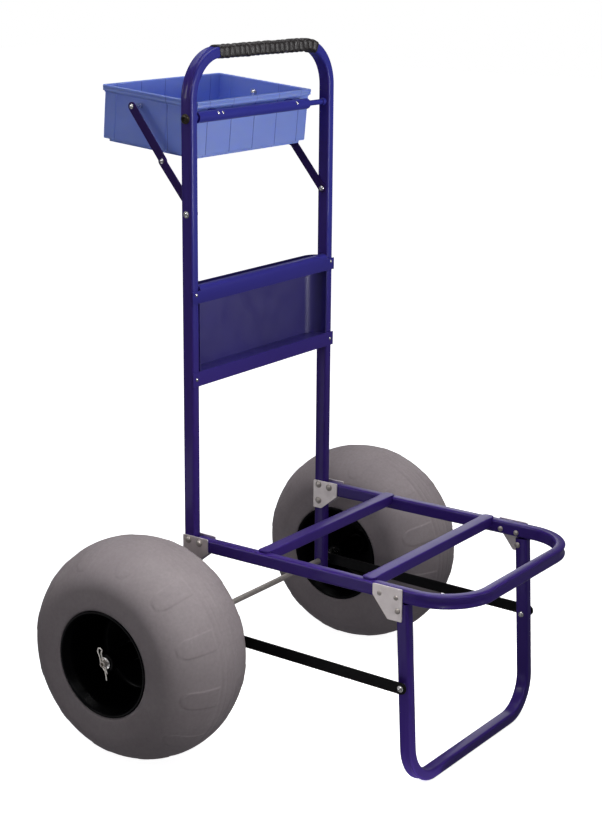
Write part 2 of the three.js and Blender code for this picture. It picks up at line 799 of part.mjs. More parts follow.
function trayBody() {
  const [halfX, halfY] = [trayHalfWidth, trayDepth / 2];
  const [wallX, wallY] = [halfX - trayLipOut, halfY - trayLipOut];
  const floor = plinthHigh + trayWall;
  const levels = [
    [0, wallX - plinthInsetX, wallY - plinthInsetY, trayWallCorner, 0],
    [plinthHigh, wallX - plinthInsetX, wallY - plinthInsetY, trayWallCorner, 0],
    [plinthHigh, wallX - trayDraft, wallY - trayDraft, trayWallCorner, trayGrooveDepth],
    [trayHeight - trayLipHigh, wallX, wallY, trayWallCorner, trayGrooveDepth],
    [trayHeight - trayLipHigh, halfX, halfY, trayCorner, 0],
    [trayHeight, halfX, halfY, trayCorner, 0],
    [trayHeight, wallX - trayWall, wallY - trayWall, trayBoreCorner, 0],
    [trayHeight - trayLipHigh, wallX - trayWall, wallY - trayWall, trayBoreCorner, trayGrooveDepth],
    [floor, wallX - trayWall - trayDraft, wallY - trayWall - trayDraft, trayBoreCorner, trayGrooveDepth],
  ];
  const rings = levels.map(([z, x, y, corner, groove]) => trayOutline(x, y, corner, groove)
    .map(([px, py]) => [px, py, z]));
  const positions = rings.flat(2);
  const count = rings[0].length;
  const index = [];
  for (let ring = 0; ring < rings.length - 1; ring++) {
    for (let at = 0; at < count; at++) {
      const next = (at + 1) % count;
      const [a, b] = [ring * count + at, ring * count + next];
      index.push(a, b, b + count, a, b + count, a + count);
    }
  }
  [[0, false], [rings.length - 1, true]].forEach(([ring, facesUp]) => {
    const contour = rings[ring].map(([x, y]) => new THREE.Vector2(x, y));
    THREE.ShapeUtils.triangulateShape(contour, []).forEach(([a, b, c]) => {
      const turn = THREE.ShapeUtils.area([contour[a], contour[b], contour[c]]) > 0;
      index.push(...(turn === facesUp ? [a, b, c] : [a, c, b]).map((at) => ring * count + at));
    });
  });
  const geometry = new THREE.BufferGeometry();
  geometry.setAttribute('position', new THREE.Float32BufferAttribute(positions, 3));
  geometry.setIndex(index);
  geometry.translate(0, trayFrontGap + halfY, trayTopRise - trayHeight);
  const boltBore = boreFor(braceBoltRadius, pinSegments);
  const boltHole = pinAcross(boltBore, -halfX - overrun, halfX + overrun, trayBoltBack, -trayBoltDrop);
  return piece('tray', cut(solid(geometry), [boltHole]), paint(cornflower, 0.35, 0));
}

function traySleeve() {
  const rightEnd = -(tubeInside - seatGap - rodShoulderLength - seatGap);
  const bar = (from, to, radius) => turned([[from, 0], [from, radius], [to, radius], [to, 0]], ringSegments);
  const tube = bar(rightEnd, sleeveLeftEnd, sleeveRadius);
  const earBack = trayFrontGap + trayLipOut - seatGap;
  const ear = new THREE.Shape();
  ear.moveTo(-earLength / 2, 0);
  ear.quadraticCurveTo(-earLength * earShoulderShare, earRise, 0, earRise);
  ear.quadraticCurveTo(earLength * earShoulderShare, earRise, earLength / 2, 0);
  ear.closePath();
  const ears = [earRightPlace, earLeftPlace].map((place) => {
    const plate = new THREE.ExtrudeGeometry(ear, {
      depth: earBack - earFront, bevelEnabled: false, curveSegments: arcSegments,
    });
    return solid(plate.rotateX(Math.PI / 2).translate(place, earBack, 0));
  });
  const screwPlaces = [
    earRightPlace - earScrewSpacing / 2, earRightPlace + earScrewSpacing / 2, earLeftPlace,
  ];
  const screws = screwPlaces.map((place) => {
    const head = new THREE.CylinderGeometry(earScrewRadius, earScrewRadius, 2 * earScrewHeight, pinSegments);
    return solid(head.translate(place, earFront, earScrewRise));
  });
  const clearance = bar(rightEnd - overrun, sleeveLeftEnd + overrun, boreFor(rodRadius, ringSegments));
  return piece('tray_sleeve', cut(joined([tube, ...ears, ...screws]), [clearance]), paint(navy, 0.35, 0.1));
}

// Folding stays of the tray: a lower link on the upright and an upper link on the tray side
function braceLayers() {
  const lowerOut = tubeInside - seatGap;
  const lowerIn = lowerOut - braceThick;
  const upperOut = lowerIn - seatGap;
  const upperIn = upperOut - braceThick;
  return { lowerOut, lowerIn, upperOut, upperIn };
}

function bracePieces(trayBolt) {
  const { lowerOut, lowerIn, upperOut, upperIn } = braceLayers();
  const foot = new THREE.Vector2(0, braceBoltHeight);
  const knee = kneeBetween(foot, trayBolt);
  const lower = linkShape(foot, knee, braceWide, [[foot, braceBoltRadius]]);
  const upper = linkShape(trayBolt, knee, braceWide, [[trayBolt, braceBoltRadius]]);
  const pieces = { back: [], lower: [], upper: [] };
  sides.forEach(([name, side]) => {
    const at = (value) => side * value;
    const link = (shape, low, high, face, way) => {
      const head = rivetHead(at(face), side * way, braceHeadRadius, braceHeadHeight, braceThick / 2);
      return joined([plateAcross(shape, at(low), at(high)), head.translate([0, knee.x, knee.y])]);
    };
    const lowerLink = link(lower, lowerIn, lowerOut, lowerOut, 1);
    const upperLink = link(upper, upperIn, upperOut, upperIn, -1);
    pieces.lower.push(piece(`brace_lower_${name}`, lowerLink, paint(navy, 0.35, 0.1)));
    pieces.upper.push(piece(`brace_upper_${name}`, upperLink, paint(navy, 0.35, 0.1)));
    const ends = [[lowerIn - seatGap, [braceDomeRadius, braceDomeHeight]],
      [tubeOutside + seatGap, [braceHeadRadius, braceHeadHeight]]];
    if (side < 0) ends.reverse();
    const bolt = domedBolt(at(ends[0][0]), at(ends[1][0]), braceBoltRadius, ends[0][1], ends[1][1])
      .translate([0, 0, braceBoltHeight]);
    pieces.back.push(piece(`brace_bolt_${name}`, bolt, paint(zinc, 0.3, 0.8)));
  });
  return pieces;
}

// Bolts that hold the upper links off the tray sides, in the tray's own frame
function trayBraceBolts() {
  const { upperOut, upperIn } = braceLayers();
  const wallOut = trayHalfWidth - trayLipOut;
  const wallIn = wallOut - trayWall - trayDraft;
  return sides.map(([name, side]) => {
    const profile = [
      ...domeProfile(wallIn - seatGap, -1, braceDomeRadius, braceDomeHeight).reverse(),
      [wallIn - seatGap, braceBoltRadius],
      [wallOut + seatGap, braceBoltRadius], [wallOut + seatGap, braceSpacerRadius],
      [upperIn - seatGap, braceSpacerRadius], [upperIn - seatGap, braceBoltRadius],
      [upperOut + seatGap, braceBoltRadius],
      ...domeProfile(upperOut + seatGap, 1, braceHeadRadius, braceHeadHeight),
    ].map(([along, radius]) => [side * along, radius]);
    const bolt = turned(profile, boltSegments).translate([0, trayBoltBack, -trayBoltDrop]);
    return piece(`tray_brace_bolt_${name}`, bolt, paint(chrome, 0.25, 0.9));
  });
}

// Platform frame: one tube bent into the rails and the front bar, in the axle frame
function platformFrame() {
  const depth = platformReach - tubeAcross / 2 - railRear;
  const geometry = uTube(frameHalfWidth, depth, platformBendRadius);
  geometry.rotateZ(Math.PI).translate(0, -railRear, railHeight);
  const bottom = railTop - tubeDeep;
  const keep = new THREE.Shape();
  keep.moveTo(-platformReach - overrun, bottom - overrun);
  keep.lineTo(-railRear, bottom - overrun);
  keep.lineTo(-railRear, pivotHeight);
  keep.absarc(-pivotForward, pivotHeight, railEndRadius, 0, Math.PI / 2, false);
  keep.lineTo(-platformReach - overrun, pivotHeight + railEndRadius);
  keep.closePath();
  const across = [-tubeOutside - overrun, tubeOutside + overrun];
  const trimmed = solid(geometry).intersect(plateAcross(keep, ...across));
  const bore = pinAcross(boreFor(boltRadius, pinSegments), ...across, -pivotForward, pivotHeight);
  return piece('platform_frame', cut(trimmed, [bore]), paint(navy, 0.3, 0.1));
}

// Crossbar: a tube that fills the space between the rails, with a flattened tongue over each rail
function crossbar(name, forward) {
  const half = tubeInside - seatGap;
  const top = railTop + crossbarRise;
  const bottom = top - crossbarHigh;
  const [wide, wall] = [crossbarWide / 2, crossbarWall];
  const rectangle = (inset) => [
    [-forward - wide + inset, bottom + inset], [-forward + wide - inset, bottom + inset],
    [-forward + wide - inset, top - inset], [-forward - wide + inset, top - inset],
  ];
  const shell = plateAcross(roundedShape(rectangle(0), crossbarCorner), -half, half, 2);
  const boreShape = roundedShape(rectangle(wall), crossbarCorner - wall);
  const bore = plateAcross(boreShape, -half - overrun, half + overrun, 1);
  const tongues = sides.map(([, side]) => {
    const inner = side * (half - crossbarLap);
    const outer = side * crossbarReach;
    const corners = [
      [inner, -forward - wide], [outer, -forward - wide], [outer, -forward + wide], [inner, -forward + wide],
    ];
    const shape = new THREE.Shape();
    const round = crossbarEndRadius;
    shape.moveTo(...corners[0]);
    shape.lineTo(outer - side * round, corners[1][1]);
    shape.quadraticCurveTo(outer, corners[1][1], outer, corners[1][1] + round);
    shape.lineTo(outer, corners[2][1] - round);
    shape.quadraticCurveTo(outer, corners[2][1], outer - side * round, corners[2][1]);
    shape.lineTo(...corners[3]);
    shape.closePath();
    return plateUp(shape, railTop + seatGap, top);
  });
  const trim = plateAcross(roundedShape(rectangle(0), crossbarCorner), -crossbarReach, crossbarReach, 2);
  const tongueBodies = tongues.map((tongue) => tongue.intersect(trim));
  return piece(name, joined([cut(shell, [bore]), ...tongueBodies]), paint(navy, 0.3, 0.1));
}

// Leg gussets: plates riveted to the outside of the rails, which carry the leg's pivot bolts
function legGussets() {
  const [y, top] = [-legPivotForward, railTop + legGussetRise];
  const corners = [
    [y + legGussetBack, top], [y - legGussetFront, top], [y - legGussetFront, railTop - legGussetDrop],
    [y + legGussetToe, railTop - legGussetDrop], [y + legGussetBack, railTop - legGussetShoulder],
  ];
  const plate = roundedShape(corners, gussetCorner, [[y, legPivotHeight, boltRadius]]);
  const rivets = [
    [y + legRearRivetBack, railTop - legRearRivetDrop],
    [y + legFrontRivetBack, railTop - legFrontRivetDrop],
  ];
  const pieces = [];
  sides.forEach(([name, side]) => {
    const sheet = plateAcross(plate, side * (tubeOutside + seatGap), side * plateOutside);
    const head = rivetHead(side * plateOutside, side, legRivetRadius, legRivetHeight, gussetSheet / 2);
    const heads = rivets.map(([rivetY, rivetZ]) => head.translate([0, rivetY, rivetZ]));
    pieces.push(piece(`leg_gusset_${name}`, joined([sheet, ...heads]), paint(zinc, 0.4, 0.7)));
    const ends = [side * (tubeInside - seatGap), side * (plateOutside + seatGap)];
    const boltHead = [boltHeadRadius, boltHeadHeight];
    const bolt = domedBolt(Math.min(...ends), Math.max(...ends), boltRadius, boltHead, boltHead)
      .translate([0, y, legPivotHeight]);
    pieces.push(piece(`leg_pivot_bolt_${name}`, bolt, paint(zinc, 0.3, 0.9)));
  });
  return pieces;
}

// Leg frame and the pins that take the stays, in the leg's own frame with its origin on the pivot
function legPieces() {
  const splay = radians(legSplay);
  const rearEdge = tubeDeep / 2 - tubeCorner - legAxisForward;
  const reach = (legPivotHeight - rearEdge * Math.sin(splay)) / Math.cos(splay);
  const depth = reach + legTopRise - tubeAcross / 2;
  const geometry = uTube(frameHalfWidth, depth, legBendRadius);
  geometry.rotateX(-Math.PI / 2).translate(0, -legAxisForward, legTopRise);
  const bores = [[0, 0], [-legAxisForward, -legStayDrop]].map(([y, z]) => pinAcross(
    boreFor(boltRadius, pinSegments), -tubeOutside - overrun, tubeOutside + overrun, y, z));
  const pieces = [piece('leg_frame', cut(solid(geometry), bores), paint(navy, 0.3, 0.1))];
  sides.forEach(([name, side]) => {
    const pin = turned([
      ...domeProfile(tubeInside - seatGap, -1, boltHeadRadius, boltHeadHeight).reverse(),
      [tubeInside - seatGap, boltRadius],
      [tubeOutside + seatGap, boltRadius], [tubeOutside + seatGap, legSpacerRadius],
      [stayInside - seatGap, legSpacerRadius], [stayInside - seatGap, 0],
    ].map(([along, radius]) => [side * along, radius]), boltSegments)
      .translate([0, -legAxisForward, -legStayDrop]);
    pieces.push(piece(`leg_stay_pin_${name}`, pin, paint(zinc, 0.3, 0.8)));
  });
  return pieces;
}

// Stays: flat bars from the axle to the leg, in the axle frame
function stayPieces(legBolt) {
  const rear = new THREE.Vector2(0, axleHeight);
  const shape = linkShape(rear, legBolt, stayWide, [[rear, axleRadius], [legBolt, boltRadius]]);
  const pieces = [];
  sides.forEach(([name, side]) => {
    const bar = plateAcross(shape, side * stayInside, side * stayOutside);
    pieces.push(piece(`stay_${name}`, bar, paint(black, 0.6, 0.2)));
    const bolt = turned([
      [stayInside, 0], [stayInside, boltRadius], [stayOutside + seatGap, boltRadius],
      ...domeProfile(stayOutside + seatGap, 1, boltHeadRadius, boltHeadHeight),
    ].map(([along, radius]) => [side * along, radius]), boltSegments).translate([0, legBolt.x, legBolt.y]);
    pieces.push(piece(`stay_bolt_${name}`, bolt, paint(zinc, 0.3, 0.8)));
  });
  return pieces;
}

// Tyre: a thin balloon of nearly elliptical section, open towards the rim
function tyreSolid() {
  const flat = 1 / Math.cos(Math.PI / tyreSegments);
  const centre = wheelRadius - tyreSectionRadius;
  const bulge = (inset, share) => {
    const angle = share * Math.PI / 2;
    const power = 2 / tyreRoundness;
    const x = (tyreHalfWidth - inset) * Math.cos(angle) ** power;
    return [x, (centre + (tyreSectionRadius - inset) * Math.sin(angle) ** power) * flat];
  };
  const bead = tyreHalfWidth - beadInset;
  const outerHalf = [
    [bead, rimOpening - beadDrop], [tyreHalfWidth - beadEdge, rimOpening],
    [tyreHalfWidth, rimOpening + beadInset / 2],
    ...tyreShares.map((share) => bulge(0, share)),
  ];
  const innerHalf = [
    [bead, rimOpening - beadDrop + tyreWall], [tyreHalfWidth - tyreWall, rimOpening + tyreWall],
    ...tyreBoreShares.map((share) => bulge(tyreWall, share)),
  ];
  const mirror = (points) => points.map(([x, radius]) => [-x, radius]).reverse();
  const [top, boreTop] = [bulge(0, 1), bulge(tyreWall, 1)];
  const profile = [
    ...outerHalf, [0, top[1]], ...mirror(outerHalf), ...innerHalf.map(([x, radius]) => [-x, radius]),
    [0, boreTop[1]], ...mirror(innerHalf).map(([x, radius]) => [-x, radius]),
  ];
  return turned(profile, tyreSegments, Math.PI / tyreSegments);
}

// Half of the moulded rim, a deep dish that meets its other half on the wheel's middle plane
function rimHalf(way) {
  const side = tyreHalfWidth + seatGap;
  const lip = rimOpening - beadGap;
  const bead = tyreHalfWidth - beadInset - rimShell;
  const webBore = boreFor(hubRadius, rimSegments);
  const profile = [
    [seatGap / 2, rimBarrelRadius], [bead, rimBarrelRadius],
    [bead + rimShell / 2, rimOpening - beadDrop - beadGap], [side, lip], [side, lip - rimLipWide],
    [side - rimConeDepth, rimBarrelRadius], [side - 2 * rimConeDepth, rimBarrelRadius - rimShell],
    [rimWebThick + rimWebFillet, rimBarrelRadius - 2 * rimShell],
    [rimWebThick, rimBarrelRadius - 2 * rimShell - rimWebFillet],
    [rimWebThick, webBore], [seatGap / 2, webBore],
  ];
  return turned(profile.map(([along, radius]) => [way * along, radius]), rimSegments);
}

function wheelPieces(name, side) {
  const valve = pinAcross(valveRadius, side * rimWebThick / 2, side * (rimWebThick + valveLength),
    0, rimBarrelRadius - 2 * rimShell - valveInset, boltSegments);
  const hubInner = tyreInnerSide + seatGap - wheelOut;
  const hubOuter = clipOut - clipWireRadius - 2 * seatGap - axleWasherThick - wheelOut;
  const bore = boreFor(axleRadius, ringSegments);
  const hub = turned([[hubInner, bore], [hubInner, hubRadius], [hubOuter, hubRadius], [hubOuter, bore]]
    .map(([along, radius]) => [side * along, radius]), ringSegments);
  return [
    piece(`tyre_${name}`, tyreSolid(), paint(tyreGrey, 0.75, 0)),
    piece(`rim_outer_${name}`, rimHalf(side).add(valve), paint(black, 0.2, 0)),
    piece(`rim_inner_${name}`, rimHalf(-side), paint(black, 0.2, 0)),
    piece(`hub_${name}`, hub, paint(black, 0.35, 0)),
  ];
}

// Assembly in the axle frame, then moved so that the origin is under the middle of the whole
function assembly() {
  const trolley = new THREE.Group();
  const back = new THREE.Group();
  back.add(backFrame(), handleGrip(), backPanel(), ...uprightGussets(), ...axleParts(), ...trayRod());

  const tray = new THREE.Group();
  tray.add(trayBody(), traySleeve(), ...trayBraceBolts());
  tray.position.z = rodHeight;
  tray.rotation.x = radians(trayTilt);
  const trayBolt = new THREE.Vector3(0, trayBoltBack, -trayBoltDrop).applyEuler(tray.rotation);
  const braces = bracePieces(new THREE.Vector2(trayBolt.y, trayBolt.z + rodHeight));
  back.add(...braces.back);

  const platform = new THREE.Group();
  platform.add(platformFrame(), ...legGussets());
  platform.add(crossbar('crossbar_rear', crossbarRearForward));
  platform.add(crossbar('crossbar_front', crossbarFrontForward));

  const leg = new THREE.Group();
  leg.add(...legPieces());
  leg.position.set(0, -legPivotForward, legPivotHeight);
  leg.rotation.x = -radians(legSplay);
  const legBolt = new THREE.Vector3(0, -legAxisForward, -legStayDrop).applyEuler(leg.rotation);
  legBolt.add(leg.position);
  const stays = stayPieces(new THREE.Vector2(legBolt.y, legBolt.z));

  const wheels = sides.map(([name, side]) => {
    const wheel = new THREE.Group();
    wheel.add(...wheelPieces(name, side));
    wheel.position.set(side * wheelOut, 0, axleHeight);
    return wheel;
  });
  const axleFrame = new THREE.Group();
  axleFrame.add(back, tray, ...braces.lower, ...braces.upper, platform, leg, ...stays, ...wheels);
  const bounds = new THREE.Box3().setFromObject(axleFrame, true);
  axleFrame.position.y = -(bounds.min.y + bounds.max.y) / 2;
  trolley.add(axleFrame);
  trolley.updateMatrixWorld(true);
  return trolley;
}

const trolley = assembly();
export default trolley;
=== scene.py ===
# Folding fishing trolley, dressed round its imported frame.
# Shapes are worked out in millimetres with the axle at Y 0, and move into the frame's metres once.
import math

import bmesh
import bpy
from mathutils import Matrix, Vector, noise


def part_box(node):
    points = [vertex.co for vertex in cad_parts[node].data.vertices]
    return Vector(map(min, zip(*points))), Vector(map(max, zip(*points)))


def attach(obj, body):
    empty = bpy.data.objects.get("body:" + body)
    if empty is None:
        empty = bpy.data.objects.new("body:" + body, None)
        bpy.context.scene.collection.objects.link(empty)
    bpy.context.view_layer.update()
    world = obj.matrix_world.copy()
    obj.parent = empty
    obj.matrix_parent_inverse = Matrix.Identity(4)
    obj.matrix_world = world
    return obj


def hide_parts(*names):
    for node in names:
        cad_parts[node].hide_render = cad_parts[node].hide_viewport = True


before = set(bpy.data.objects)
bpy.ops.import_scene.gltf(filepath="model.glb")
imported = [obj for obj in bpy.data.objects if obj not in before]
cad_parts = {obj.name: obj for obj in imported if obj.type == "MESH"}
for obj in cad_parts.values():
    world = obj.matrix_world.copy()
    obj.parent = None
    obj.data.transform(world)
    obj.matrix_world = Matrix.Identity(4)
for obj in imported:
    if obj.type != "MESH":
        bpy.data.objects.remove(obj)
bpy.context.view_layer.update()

MM = 0.001
SIDES = (("left", 1), ("right", -1))
axle_low, axle_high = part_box("axle")
AXLE_Y = (axle_low[1] + axle_high[1]) / 2

# Sizes of the frame, in millimetres and degrees. Heights are above the floor.
TUBE_ACROSS, TUBE_DEEP, TUBE_WALL, TUBE_CORNER, BEND_DISH = 20, 25, 1.6, 4.5, 3
HALF_WIDTH = 215
TUBE_OUT = HALF_WIDTH + TUBE_ACROSS / 2
TUBE_IN = HALF_WIDTH - TUBE_ACROSS / 2
UPRIGHT_FOOT, HANDLE_TOP, HANDLE_BEND = 180, 1291, 82
RAIL_TOP, RAIL_REAR, PLATFORM_REACH, PLATFORM_BEND, RAIL_END = 385, 14.5, 601, 92, 11.5
PIVOT_Y, PIVOT_Z = -26, 377
PANEL_BOTTOM, PANEL_TOP, PANEL_HALF, LOWER_BAR, UPPER_BAR = 676.5, 865, 227, 27.5, 32.5
CROSSBARS = (("crossbar_rear", 167), ("crossbar_front", 398))
LEG_Y, LEG_Z, LEG_SPLAY, LEG_AXIS, LEG_RISE, LEG_BEND = -469, 344.5, 3.1, 6.8, 13, 74
LEG_STAY_DROP, STAY_IN, STAY_OUT, STAY_WIDE = 141, 232, 235.5, 22
AXLE_Z, AXLE_END, HUB_IN, HUB_OUT = 210, 478, 262.7, 468.15
ROD_Z, ROD_SHOULDER, TRAY_TILT = 1168, 8.5, 5
TRAY_BOLT, BRACE_FOOT, KNEE_SHARE, KNEE_SAG, BRACE_WIDE, BRACE_SHEET = (0, 146.5, -1.8), 997, 0.49, 2, 17, 3
TRAY_HALF, TRAY_DEEP, TRAY_HIGH, TRAY_FRONT, TRAY_RISE = 178, 230, 106, 10.9, 24.2
TRAY_LIP, TRAY_WALL, TRAY_PITCH, SIDE_GROOVE = 4, 2.5, 71, -41
TYRE_HALF, TYRE_SECTION, TYRE_ROUND, WHEEL_X, WHEEL_R = 108, 71, 1.95, 371, 210
RIM_OPEN, BEAD_INSET, BEAD_DROP, FLANGE = 102, 20, 3.5, 0.5
LUGS, LUG_PHASE, LUG_HALF, LUG_END, LUG_RADIUS = 12, 100.3, 5.3, 94, 185
SHEET, SHANK, EDGE = 2.5, 2.9, 0.6  # a plate's thickness, a bolt's radius and a plate's rounding
GAP = 0.3  # between one subcomponent and the next


def row(point):
    """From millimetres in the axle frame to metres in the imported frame."""
    return Vector((point[0] * MM, point[1] * MM + AXLE_Y, point[2] * MM))


def circle(segments):
    return [math.tau * s / segments for s in range(segments)]


def turn_x(point, degrees, centre=(0, 0, 0)):
    """Turns a point about an X axis through centre."""
    a = math.radians(degrees)
    y, z = point[1] - centre[1], point[2] - centre[2]
    return (
        point[0],
        centre[1] + y * math.cos(a) - z * math.sin(a),
        centre[2] + y * math.sin(a) + z * math.cos(a),
    )


def leg_place(point):
    """From the leg's own frame, with its origin on the pivot, to the axle frame."""
    x, y, z = turn_x(point, -LEG_SPLAY)
    return (x, y + LEG_Y, z + LEG_Z)


def tray_place(point):
    """From the tray's own frame, with its origin on the rod, to the axle frame."""
    x, y, z = turn_x(point, TRAY_TILT)
    return (x, y, z + ROD_Z)


class Shape:
    """Points and faces in millimetres, gathered for one piece."""

    def __init__(self, place=None):
        self.points = []
        self.faces = []
        self.place = place or (lambda p: p)

    def add(self, points, faces):
        first = len(self.points)
        self.points += [tuple(self.place(p)) for p in points]
        self.faces += [[first + i for i in face] for face in faces]

    def loft(self, rings, caps=True):
        """Joins rings of equal length, and ends in caps or goes on from the last ring to the first."""
        count = len(rings[0])
        points = [p for ring in rings for p in ring]
        faces = []
        for i in range(len(rings) - 1 if caps else len(rings)):
            a, b = i * count, (i + 1) % len(rings) * count
            for j in range(count):
                k = (j + 1) % count
                faces.append([a + j, a + k, b + k, b + j])
        if caps:
            faces.append(list(range(count))[::-1])
            faces.append([(len(rings) - 1) * count + j for j in range(count)])
        self.add(points, faces)

    def lathe(self, profile, centre, segments, way=1, closed=False):
        """Turns [along X, radius] points about an X axis through centre. way -1 mirrors them."""
        x, y, z = centre
        self.loft([
            [(x + way * along, y + radius * math.cos(a), z + radius * math.sin(a)) for a in circle(segments)]
            for along, radius in profile
        ], caps=not closed)

    def plate(self, outline, from_x, to_x):
        """Pushes a Y-Z outline along X."""
        self.loft([[(x, y, z) for y, z in outline] for x in (from_x, to_x)])


def put(name, shape, body, paint, stands_for=None, bevel=0.0, angle=38, steps=3):
    """Makes a piece of a shape, rides it on its body and lets it stand for its node of the frame.

    angle, in degrees, parts the smooth edges from the sharp ones that the bevel rounds off.
    """
    slot, material = paint
    mesh = bpy.data.meshes.new(name)
    mesh.from_pydata([row(p) for p in shape.points], [], shape.faces)
    work = bmesh.new()
    work.from_mesh(mesh)
    bmesh.ops.remove_doubles(work, verts=work.verts, dist=1e-6)
    bmesh.ops.recalc_face_normals(work, faces=work.faces)
    work.to_mesh(mesh)
    work.free()
    mesh.shade_smooth()
    mesh.set_sharp_from_angle(angle=math.radians(angle))
    obj = bpy.data.objects.new(name, mesh)
    bpy.context.scene.collection.objects.link(obj)
    obj.data.materials.append(material)
    if bevel:
        edge = obj.modifiers.new("edges", "BEVEL")
        edge.width = bevel * MM
        edge.segments = steps
        edge.limit_method = "ANGLE"
        edge.angle_limit = math.radians(angle)
        edge.miter_outer = "MITER_ARC"
        obj.modifiers.new("shading", "WEIGHTED_NORMAL").keep_sharp = True
    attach(obj, body)
    if stands_for:
        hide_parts(stands_for)


def rounded(corners, radius, steps):
    """A polygon whose corners are rounded off, as a list of points."""
    points = []
    for i, here in enumerate(corners):
        here = Vector(here)
        start = here + (Vector(corners[i - 1]) - here).normalized() * radius
        end = here + (Vector(corners[(i + 1) % len(corners)]) - here).normalized() * radius
        for s in range(steps + 1):
            t = s / steps
            points.append(tuple(start * (1 - t) ** 2 + here * 2 * t * (1 - t) + end * t * t))
    return points


def link_outline(start, end, wide, steps):
    """A flat bar with a round end about each of its two points."""
    along = math.atan2(end[1] - start[1], end[0] - start[0])
    points = []
    for centre, first in ((start, along + math.pi / 2), (end, along - math.pi / 2)):
        for s in range(steps + 1):
            a = first + math.pi * s / steps
            points.append((centre[0] + wide / 2 * math.cos(a), centre[1] + wide / 2 * math.sin(a)))
    return points


# Materials


class Paint:
    """A small helper round one node material."""

    def __init__(self, name, color, roughness, metallic=0.0, **sockets):
        self.material = bpy.data.materials.new(name)
        self.material.use_nodes = True
        self.tree = self.material.node_tree
        self.shader = self.tree.nodes["Principled BSDF"]
        sockets.update(Base_Color=color, Roughness=roughness, Metallic=metallic)
        for socket, value in sockets.items():
            self.drive(socket.replace("_", " "), value)
        place = self.tree.nodes.new("ShaderNodeTexCoord").outputs
        self.where, self.facing = place["Object"], place["Normal"]
        self.height = None

    def feed(self, socket, value):
        """Links a socket or sets it. A colour may come without its alpha."""
        if isinstance(value, bpy.types.NodeSocket):
            self.tree.links.new(value, socket)
        elif socket.type == "RGBA":
            socket.default_value = (*value[:3], 1)
        else:
            socket.default_value = value

    def drive(self, socket, value):
        self.feed(self.shader.inputs[socket], value)

    def node(self, kind, **values):
        made = self.tree.nodes.new("ShaderNode" + kind)
        for key, value in values.items():
            if key in made.inputs:
                self.feed(made.inputs[key], value)
            else:
                setattr(made, key, value)
        return made

    def noise(self, scale, detail=2.0, rough=0.5, stretch=None):
        where = self.where
        if stretch:
            where = self.node("Mapping", Vector=where, Scale=stretch).outputs[0]
        return self.node("TexNoise", Vector=where, Scale=scale, Detail=detail, Roughness=rough).outputs["Fac"]

    def ramp(self, value, low, high, from_low=0.3, from_high=0.7):
        """Colours a value from one colour to the other."""
        made = self.node("ValToRGB", Fac=value)
        for stop, place, color in zip(made.color_ramp.elements, (from_low, from_high), (low, high)):
            stop.position = place
            stop.color = (*color, 1)
        return made.outputs["Color"]

    def spread(self, value, low, high, from_low=0.3, from_high=0.7):
        """Moves a value from one range of numbers to another."""
        ends = {"From Min": from_low, "From Max": from_high, "To Min": low, "To Max": high}
        return self.node("MapRange", Value=value, **ends).outputs["Result"]

    def mix(self, share, low, high):
        made = self.node("Mix", data_type="RGBA")
        for index, value in ((0, share), (6, low), (7, high)):
            self.feed(made.inputs[index], value)
        return made.outputs[2]

    def math(self, operation, first, second=0.0):
        made = self.node("Math", operation=operation)
        self.feed(made.inputs[0], first)
        self.feed(made.inputs[1], second)
        return made.outputs[0]

    def bump(self, height, strength, distance):
        """Lays one more bump over those that the material has."""
        made = self.node("Bump", Height=height, Strength=strength, Distance=distance)
        if self.height:
            self.feed(made.inputs["Normal"], self.height)
        self.height = made.outputs["Normal"]
        self.drive("Normal", self.height)


def blue_paint():
    """Painted light: violet painted shade low down and on the side faces, and a bluer painted light on the
    upper tubes' fronts and backs.
    """
    p = Paint(
        "blue_paint", (0.06, 0.028, 0.27), 0.3,
        Coat_Weight=0.14, Coat_Roughness=0.07, Specular_IOR_Level=0.13,
    )
    tone = p.noise(9, 3)
    # Painted shade and light: the violet copy stands for shade and the bluer one for light, mixed by height
    # and by how far a face turns aside.
    low = p.ramp(tone, (0.041, 0.018, 0.18), (0.045, 0.02, 0.195))
    high = p.ramp(tone, (0.029, 0.031, 0.27), (0.032, 0.034, 0.29))
    rise = p.node("SeparateXYZ", Vector=p.where).outputs["Z"]
    aside = p.math("ABSOLUTE", p.node("SeparateXYZ", Vector=p.facing).outputs["X"])
    share = p.math("MULTIPLY", p.spread(rise, 0, 1, 0.6, 0.95), p.spread(aside, 1, 0.15, 0.4, 0.9))
    p.drive("Base Color", p.mix(share, low, high))
    p.drive("Roughness", p.spread(p.noise(35, 4), 0.28, 0.33))
    p.bump(p.noise(900, 2), 0.05, 0.0004)
    return p.material


def tray_plastic():
    """Lets a little light through, glows faintly as painted light, and is painted darker down the moulded
    grooves as their shade.
    """
    # The faint blue emission is a painted glow, standing for light that comes through the walls.
    p = Paint(
        "tray_plastic", (0.2, 0.3, 0.62), 0.36,
        Emission_Color=(0.03, 0.06, 0.5), Emission_Strength=0.06,
        Subsurface_Weight=0.6, Subsurface_Scale=0.003, Subsurface_Radius=(0.5, 0.7, 1.4),
    )
    base = p.ramp(p.noise(6, 3, stretch=(1, 1, 2.5)), (0.205, 0.285, 0.66), (0.225, 0.315, 0.71))
    # Painted shade: the colour darkens along the moulded grooves, where shade falls in them.
    axes = p.node("SeparateXYZ", Vector=p.where).outputs
    across = p.math("PINGPONG", p.math("ABSOLUTE", axes["X"]), TRAY_PITCH / 2 * MM)
    shift = (TRAY_FRONT + TRAY_DEEP / 2 + SIDE_GROOVE) * MM + AXLE_Y
    along = p.math("ABSOLUTE", p.math("SUBTRACT", axes["Y"], shift))
    groove = p.spread(p.math("MINIMUM", across, along), 0.75, 0.0, 0.0004, 0.0013)
    p.drive("Base Color", p.mix(groove, base, (0.12, 0.15, 0.42)))
    p.drive("Roughness", p.spread(p.noise(40, 3), 0.3, 0.44))
    p.bump(p.noise(1400, 2), 0.06, 0.0003)
    return p.material


